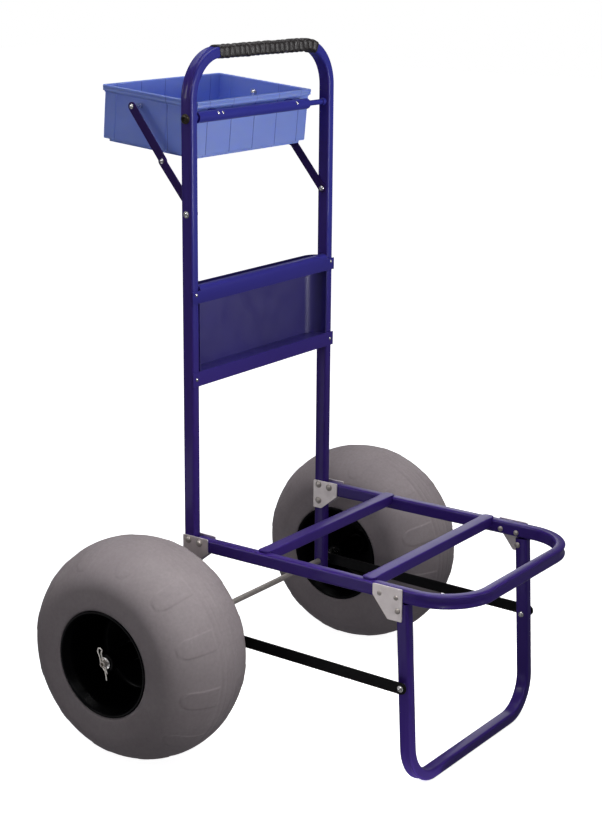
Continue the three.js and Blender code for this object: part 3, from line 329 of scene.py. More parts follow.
def tyre_rubber():
    p = Paint("tyre_rubber", (0.33, 0.29, 0.30), 0.62, Specular_IOR_Level=0.1)
    base = p.ramp(p.noise(7, 4, 0.6), (0.30, 0.262, 0.27), (0.37, 0.325, 0.335), 0.3, 0.72)
    fine = p.noise(160, 3, 0.6)
    p.drive("Base Color", p.mix(p.spread(fine, 0.0, 0.25), base, (0.22, 0.19, 0.195)))
    p.drive("Roughness", p.spread(fine, 0.52, 0.74))
    p.bump(fine, 0.12, 0.0006)
    return p.material


def leather():
    """Grained and wrinkled along the turns, with pale painted highlights in thin streaks."""
    p = Paint("grip_wrap", (0.02, 0.016, 0.016), 0.5, Specular_IOR_Level=0.4)
    grain = p.node("TexVoronoi", Vector=p.where, Scale=900).outputs["Distance"]
    tone = p.noise(120, 4, stretch=(3, 1, 1))
    base = p.ramp(tone, (0.006, 0.0045, 0.0045), (0.02, 0.015, 0.015))
    # Painted highlights: thin pale streaks across the grip.
    highlight_streak = p.noise(150, 1, stretch=(1, 0.12, 0.12))
    p.drive("Base Color", p.mix(p.spread(highlight_streak, 0, 0.8, 0.6, 0.72), base, (0.13, 0.12, 0.12)))
    p.drive("Roughness", p.spread(tone, 0.38, 0.6))
    p.bump(grain, 0.25, 0.0003)
    p.bump(p.noise(260, 3, stretch=(2.5, 1, 1)), 0.3, 0.0008)
    return p.material


def zinc_plate():
    p = Paint("zinc_plate", (0.7, 0.66, 0.65), 0.46, 0.85)
    brushed = p.noise(60, 4, stretch=(1, 1, 14))
    p.drive("Base Color", p.ramp(p.noise(40, 3), (0.77, 0.705, 0.7), (0.88, 0.815, 0.805)))
    p.drive("Roughness", p.spread(brushed, 0.34, 0.56))
    p.bump(brushed, 0.08, 0.0004)
    return p.material


def plain(name, color, roughness, metallic, tones, grain, bumps=None, **sockets):
    """Colour, roughness and bump from one noise each, given by its scale, its detail and its values."""
    p = Paint(name, color, roughness, metallic, **sockets)
    if tones:
        p.drive("Base Color", p.ramp(p.noise(*tones[:2]), *tones[2:]))
    p.drive("Roughness", p.spread(p.noise(*grain[:2]), *grain[2:]))
    if bumps:
        p.bump(p.noise(*bumps[:2]), *bumps[2:])
    return p.material


# Each material with the slot that it fills
BLUE, TRAY = ("blue_paint", blue_paint()), ("blue_plastic", tray_plastic())
TYRE, WRAP, ZINC = ("grey_tyre", tyre_rubber()), ("black_grip", leather()), ("zinc", zinc_plate())
# A darker copy of the blue paint: painted shade for the recessed panel sheet.
SHEET_BLUE = "blue_paint", plain(
    "sheet_paint", (0.03, 0.024, 0.17), 0.36, 0, (5, 3, (0.022, 0.015, 0.14), (0.031, 0.022, 0.19)),
    (30, 4, 0.3, 0.44), (900, 2, 0.05, 0.0004), Coat_Weight=0.1, Coat_Roughness=0.25,
)
# A darker, more violet copy of the blue paint: painted shade on the tray's braces.
BRACE = "blue_paint", plain(
    "brace_paint", (0.03, 0.012, 0.11), 0.34, 0, (9, 3, (0.028, 0.011, 0.1), (0.033, 0.013, 0.118)),
    (35, 4, 0.3, 0.38), (900, 2, 0.05, 0.0004), Specular_IOR_Level=0.13,
)
RIM = "black_plastic", plain(
    "gloss_black", (0.001, 0.001, 0.0015), 0.3, 0, None,
    (30, 3, 0.24, 0.36), (60, 2, 0.03, 0.001), Specular_IOR_Level=0.05,
)
STAY = "black_paint", plain(
    "matte_black", (0.003, 0.003, 0.0035), 0.5, 0,
    (60, 4, (0.0015, 0.0015, 0.002), (0.005, 0.0045, 0.0055), 0.35, 0.75),
    (120, 3, 0.4, 0.62), (700, 3, 0.1, 0.0004), Specular_IOR_Level=0.14,
)
BRIGHT = "bright_bolts", plain(
    "bright_metal", (0.75, 0.74, 0.73), 0.2, 1,
    (90, 3, (0.62, 0.61, 0.6), (0.82, 0.81, 0.8)), (200, 3, 0.12, 0.3),
)
WIRE = "bright_steel", plain(
    "plated_wire", (0.95, 0.9, 0.84), 0.4, 0.6,
    (120, 3, (0.86, 0.8, 0.74), (0.95, 0.91, 0.85)), (200, 3, 0.34, 0.46),
)
DULL = "bright_bolts", plain(
    "dull_metal", (0.5, 0.46, 0.43), 0.52, 0.85,
    (90, 3, (0.44, 0.4, 0.37), (0.58, 0.53, 0.5)), (200, 3, 0.46, 0.6),
)
# Dark metal for the rod's screws, also used as painted shade in the axle's bores.
DARK = "dark_screws", plain(
    "dark_screw", (0.05, 0.042, 0.03), 0.3, 0.8, None, (250, 3, 0.25, 0.45), (500, 2, 0.08, 0.0003),
)
RING_STEEL, AXLE_STEEL = ("bright_steel", BRIGHT[1]), ("bright_steel", DULL[1])


# Bent tubes


def tube_section(across, deep, corner, dish, steps=5, dish_steps=6):
    """p points away from the centre of the bend, and the wall there is drawn in by the dish."""
    points = []
    flat_p, flat_q = across / 2 - corner, deep / 2 - corner
    for index, (p, q) in enumerate(((1, -1), (1, 1), (-1, 1), (-1, -1))):
        for step in range(steps + 1):
            a = ((index - 1) + step / steps) * math.pi / 2
            points.append((p * flat_p + corner * math.cos(a), q * flat_q + corner * math.sin(a)))
        if index == 0:
            for step in range(1, dish_steps):
                share = 2 * step / dish_steps - 1
                points.append((across / 2 - dish * (1 - share * share), share * flat_q))
    return points


def u_tube(shape, depth, bend, lay, end_rows=()):
    """A hollow U tube. lay moves its points in place, and end_rows are more rows near its open ends.

    A station is a point of the middle line, the way across the tube and the share of the dish there.
    """
    rows, steps = (0, *end_rows), 22
    stations = [((-HALF_WIDTH, y), math.pi, 0) for y in rows]
    for side, start, end in ((-1, math.pi, math.pi / 2), (1, math.pi / 2, 0)):
        for step in range(steps + 1):
            share = step / steps
            a = start + (end - start) * share
            x = side * (HALF_WIDTH - bend) + bend * math.cos(a)
            y = depth - bend + bend * math.sin(a)
            stations.append(((x, y), a, math.sqrt(max(0, math.sin(math.pi * share)))))
    stations += [((HALF_WIDTH, y), 0, 0) for y in reversed(rows)]

    def ring(inset, station):
        (x, y), a, dish = station
        section = tube_section(
            TUBE_ACROSS - 2 * inset, TUBE_DEEP - 2 * inset, TUBE_CORNER - inset, BEND_DISH * dish
        )
        return [lay((x + p * math.cos(a), y + p * math.sin(a), q)) for p, q in section]

    outer = [ring(0, s) for s in stations]
    inner = [ring(TUBE_WALL, s) for s in stations]
    shape.loft(outer + inner[::-1], caps=False)


def build_frames():
    back = Shape()
    depth = HANDLE_TOP - TUBE_ACROSS / 2 - UPRIGHT_FOOT
    u_tube(back, depth, HANDLE_BEND, lambda p: (p[0], -p[2], p[1] + UPRIGHT_FOOT))
    put("back_tube", back, "back", BLUE, "back_frame")

    platform = Shape()
    depth = PLATFORM_REACH - TUBE_ACROSS / 2 - RAIL_REAR
    rail_z = RAIL_TOP - TUBE_DEEP / 2

    def rail_place(p):
        """Lays the U flat, and rounds off its ends about the pivot so that they clear the gussets."""
        x, y, z = -p[0], -p[1] - RAIL_REAR, p[2] + rail_z
        if y > PIVOT_Y:
            over = min(RAIL_END, y - PIVOT_Y)
            z = min(z, PIVOT_Z + math.sqrt(RAIL_END ** 2 - over ** 2))
        return (x, y, z)

    u_tube(platform, depth, PLATFORM_BEND, rail_place, (0.6, 1.6, 3, 5, 7.5, 11.4))
    put("platform_tube", platform, "platform", BLUE, "platform_frame")

    leg = Shape(leg_place)
    rear_edge = TUBE_DEEP / 2 - TUBE_CORNER - LEG_AXIS
    splay = math.radians(LEG_SPLAY)
    reach = (LEG_Z - rear_edge * math.sin(splay)) / math.cos(splay)
    depth = reach + LEG_RISE - TUBE_ACROSS / 2
    u_tube(leg, depth, LEG_BEND, lambda p: (p[0], p[2] - LEG_AXIS, -p[1] + LEG_RISE))
    put("leg_tube", leg, "leg", BLUE, "leg_frame")


def build_grip():
    """A wrapped grip: overlapping turns whose ridges lean and vary, thinner towards both ends."""
    top = HANDLE_TOP - TUBE_ACROSS / 2
    flat = HALF_WIDTH - HANDLE_BEND
    start, end = math.radians(5) * HANDLE_BEND, math.radians(23) * HANDLE_BEND
    length = start + 2 * flat + end
    under, deepest, valley = 0.7, 2.35, 0.3

    def at(along):
        """The handle's middle line at a length from the near end, and the way across the tube."""
        if along < start:
            side, a = -1, math.pi / 2 + (start - along) / HANDLE_BEND
        elif along > start + 2 * flat:
            side, a = 1, math.pi / 2 - (along - start - 2 * flat) / HANDLE_BEND
        else:
            return (along - start - flat, top), math.pi / 2
        x = side * flat + HANDLE_BEND * math.cos(a)
        return (x, top - HANDLE_BEND + HANDLE_BEND * math.sin(a)), a

    shape = Shape()
    turns, stations = 20, 460
    rings = []
    for i in range(stations + 1):
        along = length * i / stations
        (x, z), a = at(along)
        ring = []
        section = tube_section(TUBE_ACROSS + 2 * under, TUBE_DEEP + 2 * under, TUBE_CORNER + 1, 0, 7, 10)
        count = len(section)
        for j, (p, q) in enumerate(section):
            round_share = j / count
            phase = along / length * turns + 0.35 * math.sin(math.tau * round_share)
            wave = phase % 1.0
            ridge = valley
            if wave < 0.89:
                ridge += 2.1 * math.sin(math.pi * min(1, wave * 1.12)) ** 0.7
            ridge *= 0.78 + 0.6 * noise.noise((math.floor(phase) * 3.7, round_share * 5, 0))
            ridge += 0.35 * noise.noise((along / 9, round_share * 14, 2.3))
            fade = min(1, i / 6, (stations - i) / 6)
            out = min(deepest, max(0.1, ridge * (0.4 + 0.6 * fade)))
            reach = math.hypot(p, q)
            p, q = p * (1 + out / reach), q * (1 + out / reach)
            ring.append((x + p * math.cos(a), q, z + p * math.sin(a)))
        rings.append(ring)
    shape.loft(rings)
    put("grip_wrap", shape, "back", WRAP, "handle_grip", angle=60)


def build_panel():
    """A recessed sheet between the uprights, and a bar across their fronts above and below it."""
    recess, curve, roll, lip, thick = 34, 33, 9, 5, 2
    side_x = TUBE_IN - GAP
    bar_back = -TUBE_DEEP / 2 - GAP
    bar_front = bar_back - thick
    shelf, bar_top = PANEL_BOTTOM + LOWER_BAR, PANEL_TOP - roll
    back = bar_back + recess

    def channel(inset):
        half, deep, r = side_x - inset, back - inset, curve - inset
        path = [(half, bar_back + 0.05)]
        path += [
            (half - r + r * math.cos(a), deep - r + r * math.sin(a))
            for a in (math.pi / 2 * s / 20 for s in range(21))
        ]
        path += [(-x, y) for x, y in reversed(path)]
        return path

    sheet = Shape()
    outline = channel(0) + channel(thick)[::-1]
    sheet.loft([[(x, y, z) for x, y in outline] for z in (PANEL_BOTTOM + 0.1, PANEL_TOP - 1.5)])
    shelf_line = channel(thick / 2)
    sheet.loft([[(x, y, z) for x, y in shelf_line] for z in (shelf - thick, shelf - 0.1)])
    put("panel_sheet", sheet, "back", SHEET_BLUE, "back_panel", angle=50)

    arc = [math.pi - math.pi / 2 * s / 12 for s in range(13)]
    inner = roll - thick
    low = PANEL_TOP - UPPER_BAR

    def upper_ring(x, rolled):
        line = [(bar_back, low), (bar_front + 0.4, low), (bar_front, low + 0.4)]
        if rolled:
            line += [(bar_front + roll + roll * math.cos(a), bar_top + roll * math.sin(a)) for a in arc]
            line += [(bar_front + roll + lip, PANEL_TOP), (bar_front + roll + lip, PANEL_TOP - thick)]
            line += [
                (bar_front + roll + inner * math.cos(a), bar_top + inner * math.sin(a)) for a in reversed(arc)
            ]
        else:  # as many points as the rolled line
            line += [(bar_front, bar_top - 0.4 - 0.05 * (12 - i)) for i in range(13)]
            line += [(bar_front + 0.4, bar_top), (bar_back - 0.4, bar_top)]
            line += [(bar_back, bar_top - 0.4 - 0.05 * i) for i in range(13)]
        return [(x, y, z) for y, z in line]

    upper = Shape()
    upper.loft([
        upper_ring(-PANEL_HALF, False), upper_ring(-side_x - 0.02, False), upper_ring(-side_x, True),
        upper_ring(side_x, True), upper_ring(side_x + 0.02, False), upper_ring(PANEL_HALF, False),
    ])
    put("panel_top_bar", upper, "back", BLUE, angle=50)

    lower = Shape()
    outline = rounded([
        (-PANEL_HALF, PANEL_BOTTOM), (PANEL_HALF, PANEL_BOTTOM), (PANEL_HALF, shelf), (-PANEL_HALF, shelf),
    ], 1.6, 3)
    lower.loft([[(x, y, z) for x, z in outline] for y in (bar_front, bar_back)])
    put("panel_low_bar", lower, "back", BLUE, bevel=0.5, steps=2)
    screws = Shape()
    for _, side in SIDES:
        for z in (PANEL_TOP - 16, PANEL_BOTTOM + 13.5):
            dome(screws, (side * (HALF_WIDTH + 1), bar_front, z), (0, -1, 0), 3.4, 1.9, 1.1)
    put("panel_screws", screws, "back", BRIGHT)


def dome(shape, place, way, radius, height, recess=0.0, segments=28, base=0.0):
    """A round head on a flat face: place is the centre of its seat and way its outward direction.

    recess sinks a dent in its top, and base carries its side on below its seat.
    """
    way = Vector(way).normalized()
    side = way.orthogonal().normalized()
    over = way.cross(side)
    heights = [-base, *(rise * height for rise in (0, 0.28, 0.55, 0.8, 0.95, 1))]
    heights[-2] -= recess * 0.2
    heights[-1] -= recess
    rings = []
    for h, share in zip(heights, (1, 1, 0.97, 0.85, 0.62, 0.34, 0.12)):
        seat, r = Vector(place) + way * h, radius * share
        rings.append([seat + (side * math.cos(a) + over * math.sin(a)) * r for a in circle(segments)])
    shape.loft(rings)


def shank(shape, from_x, to_x, y, z):
    shape.lathe([(from_x, SHANK), (to_x, SHANK)], (0, y, z), 24)


def washer(shape, place, way, radius, thick, bore=3):
    shape.lathe([(0, bore), (0, radius), (thick, radius), (thick, bore)], place, 32, way)


def build_gussets():
    """The plates on both sides of each upright's foot, with their bolts and the platform's pivots."""
    front, back, top, foot = -46, TUBE_DEEP / 2 + 0.5, RAIL_TOP + 3, RAIL_TOP - 56.5
    outline = rounded([(back, top), (front, top), (front, RAIL_TOP - 25), (-7, foot), (back, foot)], 2.5, 5)
    bolts = (
        ("gusset_bolt_upper", 0, RAIL_TOP - 5.5),
        ("gusset_bolt_lower", 0, RAIL_TOP - 40),
        ("platform_pivot", PIVOT_Y, PIVOT_Z),
    )
    plate_out, plate_in = TUBE_OUT + GAP + SHEET, TUBE_IN - GAP - SHEET
    layers = (("outer", TUBE_OUT + GAP, plate_out), ("inner", plate_in, TUBE_IN - GAP))
    for name, side in SIDES:
        for layer, low, high in layers:
            shape = Shape()
            shape.plate(outline, side * low, side * high)
            node = f"upright_gusset_{layer}_{name}"
            put(f"foot_plate_{layer}_{name}", shape, "back", ZINC, node, bevel=EDGE)
        for bolt, y, z in bolts:
            shape = Shape()
            for x, way in ((side * plate_out, side), (side * plate_in, -side)):
                shape.lathe([(0, 3), (0, 7.2), (0.5, 7.2), (0.7, 6.9), (0.7, 3)], (x, y, z), 36, way)
                dome(shape, (x + way * 0.7, y, z), (way, 0, 0), 5.6, 3.2, segments=32)
            shank(shape, side * plate_in, side * plate_out, y, z)
            put(f"{bolt}_head_{name}", shape, "back", DULL, f"{bolt}_{name}")


def build_leg_gussets():
    """The plates that hang from the platform's sides, with their rivets and the leg's pivots."""
    y, top, foot = LEG_Y, RAIL_TOP + 1, RAIL_TOP - 60
    outline = rounded([
        (y + 53, top), (y - 9, top), (y - 9, foot), (y + 21, foot), (y + 53, RAIL_TOP - 20),
    ], 2.5, 5)
    rivets = ((y + 38.5, RAIL_TOP - 15), (y + 4, RAIL_TOP - 16.5))
    for name, side in SIDES:
        low, high = side * (TUBE_OUT + GAP), side * (TUBE_OUT + GAP + SHEET)
        shape = Shape()
        shape.plate(outline, low, high)
        put(f"leg_plate_{name}", shape, "platform", ZINC, f"leg_gusset_{name}", bevel=EDGE)
        heads = Shape()
        for ry, rz in rivets:
            dome(heads, (high, ry, rz), (side, 0, 0), 4.6, 2.5)
            dome(heads, (side * TUBE_IN, ry, rz), (-side, 0, 0), 5.4, 4.2)
        put(f"leg_rivets_{name}", heads, "platform", DULL)
        bolt = Shape()
        dome(bolt, (high + side * 0.3, y, LEG_Z), (side, 0, 0), 5.2, 3.2)
        dome(bolt, (side * (TUBE_IN - GAP), y, LEG_Z), (-side, 0, 0), 6, 3.3)
        shank(bolt, side * (TUBE_IN - 1), high + side, y, LEG_Z)
        put(f"leg_pivot_head_{name}", bolt, "platform", DULL, f"leg_pivot_bolt_{name}")


def build_stays():
    """The flat bars from the axle to the leg, with the bolts and the leg's pins."""
    bolt = leg_place((0, -LEG_AXIS, -LEG_STAY_DROP))
    foot = (bolt[1], bolt[2])
    outline = link_outline((0, AXLE_Z), foot, STAY_WIDE, 18)
    for name, side in SIDES:
        shape = Shape()
        shape.plate(outline, side * STAY_IN, side * STAY_OUT)
        put(f"stay_bar_{name}", shape, "stays", STAY, f"stay_{name}", bevel=0.7)
        head = Shape()
        seat = side * (STAY_OUT + GAP)
        washer(head, (seat - side * GAP, *foot), side, 5.8, 0.7, SHANK)
        dome(head, (seat + side * 0.4, *foot), (side, 0, 0), 4.6, 3, 1.6)
        shank(head, side * STAY_IN, seat, *foot)
        put(f"stay_head_{name}", head, "stays", BRIGHT, f"stay_bolt_{name}")
        pin = Shape()
        profile = [(TUBE_IN - 1, SHANK), (TUBE_OUT, SHANK), (TUBE_OUT + GAP, 7)]
        profile += [(STAY_IN - GAP, 7), (STAY_IN - GAP, 0.5)]
        pin.lathe(profile, (0, *foot), 32, side)
        dome(pin, (side * (TUBE_IN - GAP), *foot), (-side, 0, 0), 6, 3.4)
        put(f"leg_pin_{name}", pin, "leg", BRIGHT, f"leg_stay_pin_{name}")


def build_crossbars():
    """Hollow bars between the platform's sides, whose tops run on over the tube and round down."""
    half, reach, wide, high, corner, wall, end = TUBE_IN - GAP, 218, 12.5, 20, 3, 1.5, 8
    top = RAIL_TOP + 4
    for node, forward in CROSSBARS:
        shape = Shape()

        def ring(x, low, high_z, w, r):
            section = rounded([
                (-forward - w, low), (-forward + w, low), (-forward + w, high_z), (-forward - w, high_z),
            ], r, 5)
            return [(x, y, z) for y, z in section]

        outer = [ring(x, top - high, top, wide, corner) for x in (-half, -half + 2, half - 2, half)]
        bore = [
            ring(x, top - high + wall, top - wall, wide - wall, corner - wall)
            for x in (half, half - 2, -half + 2, -half)
        ]
        shape.loft(outer + bore, caps=False)
        low = RAIL_TOP + GAP
        for _, side in SIDES:
            hidden = 0.08
            stations = [(half - 12, hidden, 0), (half - 0.03, hidden, 0), (half, 0, 0), (reach - end, 0, 0)]
            stations += [
                (reach - end + end * math.sin(a), 0, end * (1 - math.cos(a)))
                for a in (math.pi / 2 * s / 8 for s in range(1, 9))
            ]
            shape.loft([
                ring(side * x, low + drop, top - drop, wide - drop - narrow, 1.4)
                for x, drop, narrow in stations
            ])
        put(f"{node}_tube", shape, "platform", BLUE, node, angle=45)


def build_axle():
    place = (0, 0, AXLE_Z)
    rod = Shape()
    floor = AXLE_END - 2.5
    end = [(floor, 0.4), (floor, 3.6), (AXLE_END, 4.2), (AXLE_END, 5), (AXLE_END - 1, 5.8)]
    rod.lathe([(-x, r) for x, r in end] + end[::-1], place, 40)
    put("axle_rod", rod, "back", AXLE_STEEL, "axle")
    # Painted shade: a dark disc at the bottom of each axle end's recess darkens the bore.
    bore_shades = Shape()
    for _, side in SIDES:
        bore = [(floor - 0.5, 0.3), (floor + 0.4, 0.3), (floor + 0.4, 3.4), (floor - 0.5, 3.4)]
        bore_shades.lathe(bore, place, 24, side)
    put("axle_bore_shades", bore_shades, "back", DARK)
    rings = (
        ("axle_spacer", TUBE_OUT + GAP, STAY_IN - GAP, 10),
        ("axle_collar", STAY_OUT + GAP, HUB_IN, 13),
        ("axle_washer", HUB_OUT + GAP, HUB_OUT + GAP + 2, 11.5),
    )
    for name, side in SIDES:
        for node, low, high, radius in rings:
            shape = Shape()
            cut, bore = min(0.8, (high - low) / 4), 6.1
            shape.lathe([
                (low, bore), (low, radius - cut), (low + cut, radius),
                (high - cut, radius), (high, radius - cut), (high, bore),
            ], place, 48, side, closed=True)
            if node == "axle_washer":
                for k in range(6):
                    angle = math.tau * k / 6 + 0.3
                    tooth = (side * high, 8.6 * math.cos(angle), AXLE_Z + 8.6 * math.sin(angle))
                    dome(shape, tooth, (side, 0, 0), 1.7, 1.6, segments=12)
            put(f"{node}_ring_{name}", shape, "back", RING_STEEL, f"{node}_{name}")
        wire(name, side)


def catmull(points, steps):
    """A smooth curve through the points."""
    points = [Vector(p) for p in points]
    padded = [points[0] * 2 - points[1], *points, points[-1] * 2 - points[-2]]
    path = []
    for i in range(1, len(padded) - 2):
        a, b, c, d = padded[i - 1:i + 3]
        for s in range(steps):
            t = s / steps
            path.append(0.5 * (2 * b + (c - a) * t + (2 * a - 5 * b + 4 * c - d) * t * t
                               + (3 * b - a - 3 * c + d) * t ** 3))
    return path + [points[-1]]


def sweep(shape, path, radius, sides=14, end=0.4):
    """A round wire along a path, with rounded ends."""
    rings = []
    normal = None
    for i, here in enumerate(path):
        way = (path[min(i + 1, len(path) - 1)] - path[max(i - 1, 0)]).normalized()
        normal = way.orthogonal() if normal is None else normal - way * normal.dot(way)
        normal = normal.normalized()
        over = way.cross(normal)
        rings.append([here + (normal * math.cos(a) + over * math.sin(a)) * radius for a in circle(sides)])

    def cap(ring, centre, before):
        return [centre + (centre - before).normalized() * radius * end + (p - centre) * 0.5 for p in ring]

    shape.loft([cap(rings[0], path[0], path[1]), *rings, cap(rings[-1], path[-1], path[-2])])


def wire(name, side):
    """The spring clip: a straight leg through the axle, a loop above it and a bow round the axle."""
    radius, loop, rise, tail, bow_tail = 1.25, 5.4, 25, 19, 31
    bow = 5.8 + radius + GAP
    points = [
        (0, -tail), (0, 0), (-loop / 4, rise - loop), (-loop, rise), (0, rise + loop),
        (loop, rise), (loop, rise / 2), (bow, 0), (bow * 0.6, -tail * 0.55),
        (radius * 2.6, -tail * 0.8), (bow * 0.9, -bow_tail),
    ]
    lean, clip_x = -22, AXLE_END - 6
    shape = Shape(lambda p: turn_x((p[0] + side * clip_x, p[1], p[2] + AXLE_Z), lean, (0, 0, AXLE_Z)))
    sweep(shape, catmull([(0, y, z) for y, z in points], 12), radius)
    put(f"spring_clip_{name}", shape, "back", WIRE, f"r_clip_{name}", angle=70)


def ease(value):
    """0 below 0, 1 above 1 and smooth between."""
    value = min(1.0, max(0.0, value))
    return value * value * (3 - 2 * value)


def tyre_raise(x, degrees):
    """How far the moulded pattern stands out of the tyre: a centre band and round-ended lugs."""
    far = abs(x)
    height = 0.7 * ease((19 - far) / 1.6 + 0.5) - 0.6 * ease((1.6 - abs(far - 8)) / 1.2)
    off = (degrees - LUG_PHASE + 180 / LUGS) % (360 / LUGS) - 180 / LUGS
    arm = math.radians(LUG_HALF) * LUG_RADIUS
    across = math.radians(abs(off)) * LUG_RADIUS
    start = LUG_END - arm
    outer = math.hypot(across, far - start) if far > start else across
    edge = arm - outer
    if far > 24:
        height += 0.8 * ease(edge / 2.4 + 0.5)
        dent_start, dent_arm = start - 4, arm * 0.5
        inner = math.hypot(across, far - dent_start) if far > dent_start else across
        height -= 0.25 * ease((dent_arm - inner) / 1.8 + 0.5) * ease((far - 45) / 6)
    return height


def build_wheels():
    """The tyres, with rows of points where the lugs' edges need them, and their rims."""
    centre, rows, power = WHEEL_R - TYRE_SECTION, 150, 2 / TYRE_ROUND
    bead = TYRE_HALF - BEAD_INSET
    marks = (0, 1.6, 3.1, 4.2, 4.8, 5.15, 5.5, 5.9, 6.6, 8, 10, 12.5)
    turn = [*marks, 180 / LUGS, *(-m for m in marks[:0:-1])]
    angles = sorted((LUG_PHASE + k * 360 / LUGS + m) % 360 for k in range(LUGS) for m in turn)
    for name, side in SIDES:
        place = (side * WHEEL_X, 0, AXLE_Z)
        shape = Shape()
        rings = []
        profile = [(bead, RIM_OPEN - BEAD_DROP), (TYRE_HALF - 0.9, RIM_OPEN), (TYRE_HALF - 0.2, RIM_OPEN + 3)]
        profile.append((TYRE_HALF, RIM_OPEN + BEAD_INSET / 2))
        for i in range(rows + 1):
            a = math.pi * i / rows
            c, s = math.cos(a), math.sin(a)
            x = math.copysign(TYRE_HALF * abs(c) ** power, c)
            profile.append((x, centre + TYRE_SECTION * max(0.0, s) ** power))
        profile += [(-x, r) for x, r in reversed(profile[:4])]
        inner = [(TYRE_HALF - 6, RIM_OPEN + 8), (bead, RIM_OPEN - BEAD_DROP + 4.5)]
        profile += [(-x, r) for x, r in inner] + inner[::-1]
        for x, r in profile:
            ring = []
            out_x = math.copysign((abs(x) / TYRE_HALF) ** (TYRE_ROUND - 1) / TYRE_HALF, x) if x else 0.0
            out_r = max(0.0, (r - centre) / TYRE_SECTION) ** (TYRE_ROUND - 1) / TYRE_SECTION
            long = math.hypot(out_x, out_r) or 1
            share = ease((r - RIM_OPEN - 8) / 40)
            for degrees in angles:
                a = math.radians(degrees)
                step = (tyre_raise(x, degrees) - 1.0) * share
                along, out = x + step * out_x / long, r + step * out_r / long
                ring.append((place[0] + along, out * math.cos(a), AXLE_Z + out * math.sin(a)))
            rings.append(ring)
        shape.loft(rings, caps=False)
        put(f"tyre_skin_{name}", shape, f"wheel_{name}", TYRE, f"tyre_{name}", angle=80)
        build_rim(name, side, place)


def build_rim(name, side, place):
    """Two dished halves, back to back on the hub, with the valve in the outer one."""
    face, lip = TYRE_HALF + GAP - FLANGE, RIM_OPEN - 1
    barrel, cone, web, hub = 88, 13, 8, 17
    bead = TYRE_HALF - BEAD_INSET - 3
    for half, way in (("outer", side), ("inner", -side)):
        dish = [
            (bead + 1.5, RIM_OPEN - BEAD_DROP - 1), (face - FLANGE, lip), (face + 0.4, lip - 1),
            (face + FLANGE, lip - 3.6), (face - 0.6, lip - 5), (face - 3, lip - 6.4),
            (face - cone, barrel + 0.8), (face - cone - 1.4, barrel), (face - 2 * cone, barrel - 3),
            (40, barrel - 4.5), (22, barrel - 5.6), (web + 7, barrel - 7), (web + 3.4, barrel - 9.4),
            (web + 1, barrel - 12), (web, barrel - 15), (web + 0.2, 56), (web + 0.8, 46), (web + 1.6, 38),
            (web + 2.6, 31), (web + 4, 26), (web + 6.5, 23), (web + 14, 20.5), (web + 15, 19.6),
            (web + 15, hub + GAP),
        ]
        shape = Shape()
        shape.lathe([(0.2, barrel), (bead, barrel), *dish, (0.2, hub + GAP)], place, 144, way, closed=True)
        node = f"rim_{half}_{name}"
        if half == "outer":
            valve = (place[0], 0, AXLE_Z + barrel - 18)
            tip = web + 20
            stem = [(web / 2, 4.6), (web + 3, 4.6), (web + 4, 3.5), (tip - 1, 3.5), (tip, 2.9)]
            shape.lathe(stem, valve, 24, way)
            metal = Shape()
            metal.lathe([(tip, 2.2), (tip + 1.4, 2.2), (tip + 1.8, 1.7)], valve, 20, way)
            put(f"valve_tip_{name}", metal, f"wheel_{name}", BRIGHT)
        put(f"{node}_dish", shape, f"wheel_{name}", RIM, node, angle=50)
    low, high = HUB_IN + GAP - WHEEL_X, HUB_OUT - GAP - WHEEL_X
    tube = Shape()
    profile = [(low, 6.1), (low, 15.8), (low + 1.2, hub), (high - 1.2, hub), (high, 15.8), (high, 6.1)]
    tube.lathe(profile, place, 64, side, closed=True)
    put(f"hub_tube_{name}", tube, f"wheel_{name}", RIM, f"hub_{name}")


def tray_outline(half_x, half_y, corner, groove):
    """The tray seen from above: its four walls with their grooves, and its round corners."""
    points = []
    across = [k * TRAY_PITCH for k in (-2, -1, 0, 1, 2)]
    down = [SIDE_GROOVE, -2 * SIDE_GROOVE]
    walls = (
        ((0, -1), (1, 0), across, half_y), ((1, 0), (0, 1), down, half_x),
        ((0, 1), (-1, 0), across, half_y), ((-1, 0), (0, -1), [-d for d in down[::-1]], half_x),
    )
    half_groove = ((1.65, 0), (1.2, 0), (0.675, 0.3), (0.3, 1))
    steps = [(-s, deep) for s, deep in half_groove] + [*half_groove[::-1]]
    for index, (out, along, places, half_out) in enumerate(walls):
        for spot in places:
            for step, deep in steps:
                d, s = half_out - deep * groove, spot + step
                points.append((out[0] * d + along[0] * s, out[1] * d + along[1] * s))
        cx, cy = (out[0] + along[0]) * (half_x - corner), (out[1] + along[1]) * (half_y - corner)
        for step in range(9):
            a = (index - 1 + step / 8) * math.pi / 2
            points.append((cx + corner * math.cos(a), cy + corner * math.sin(a)))
    return points


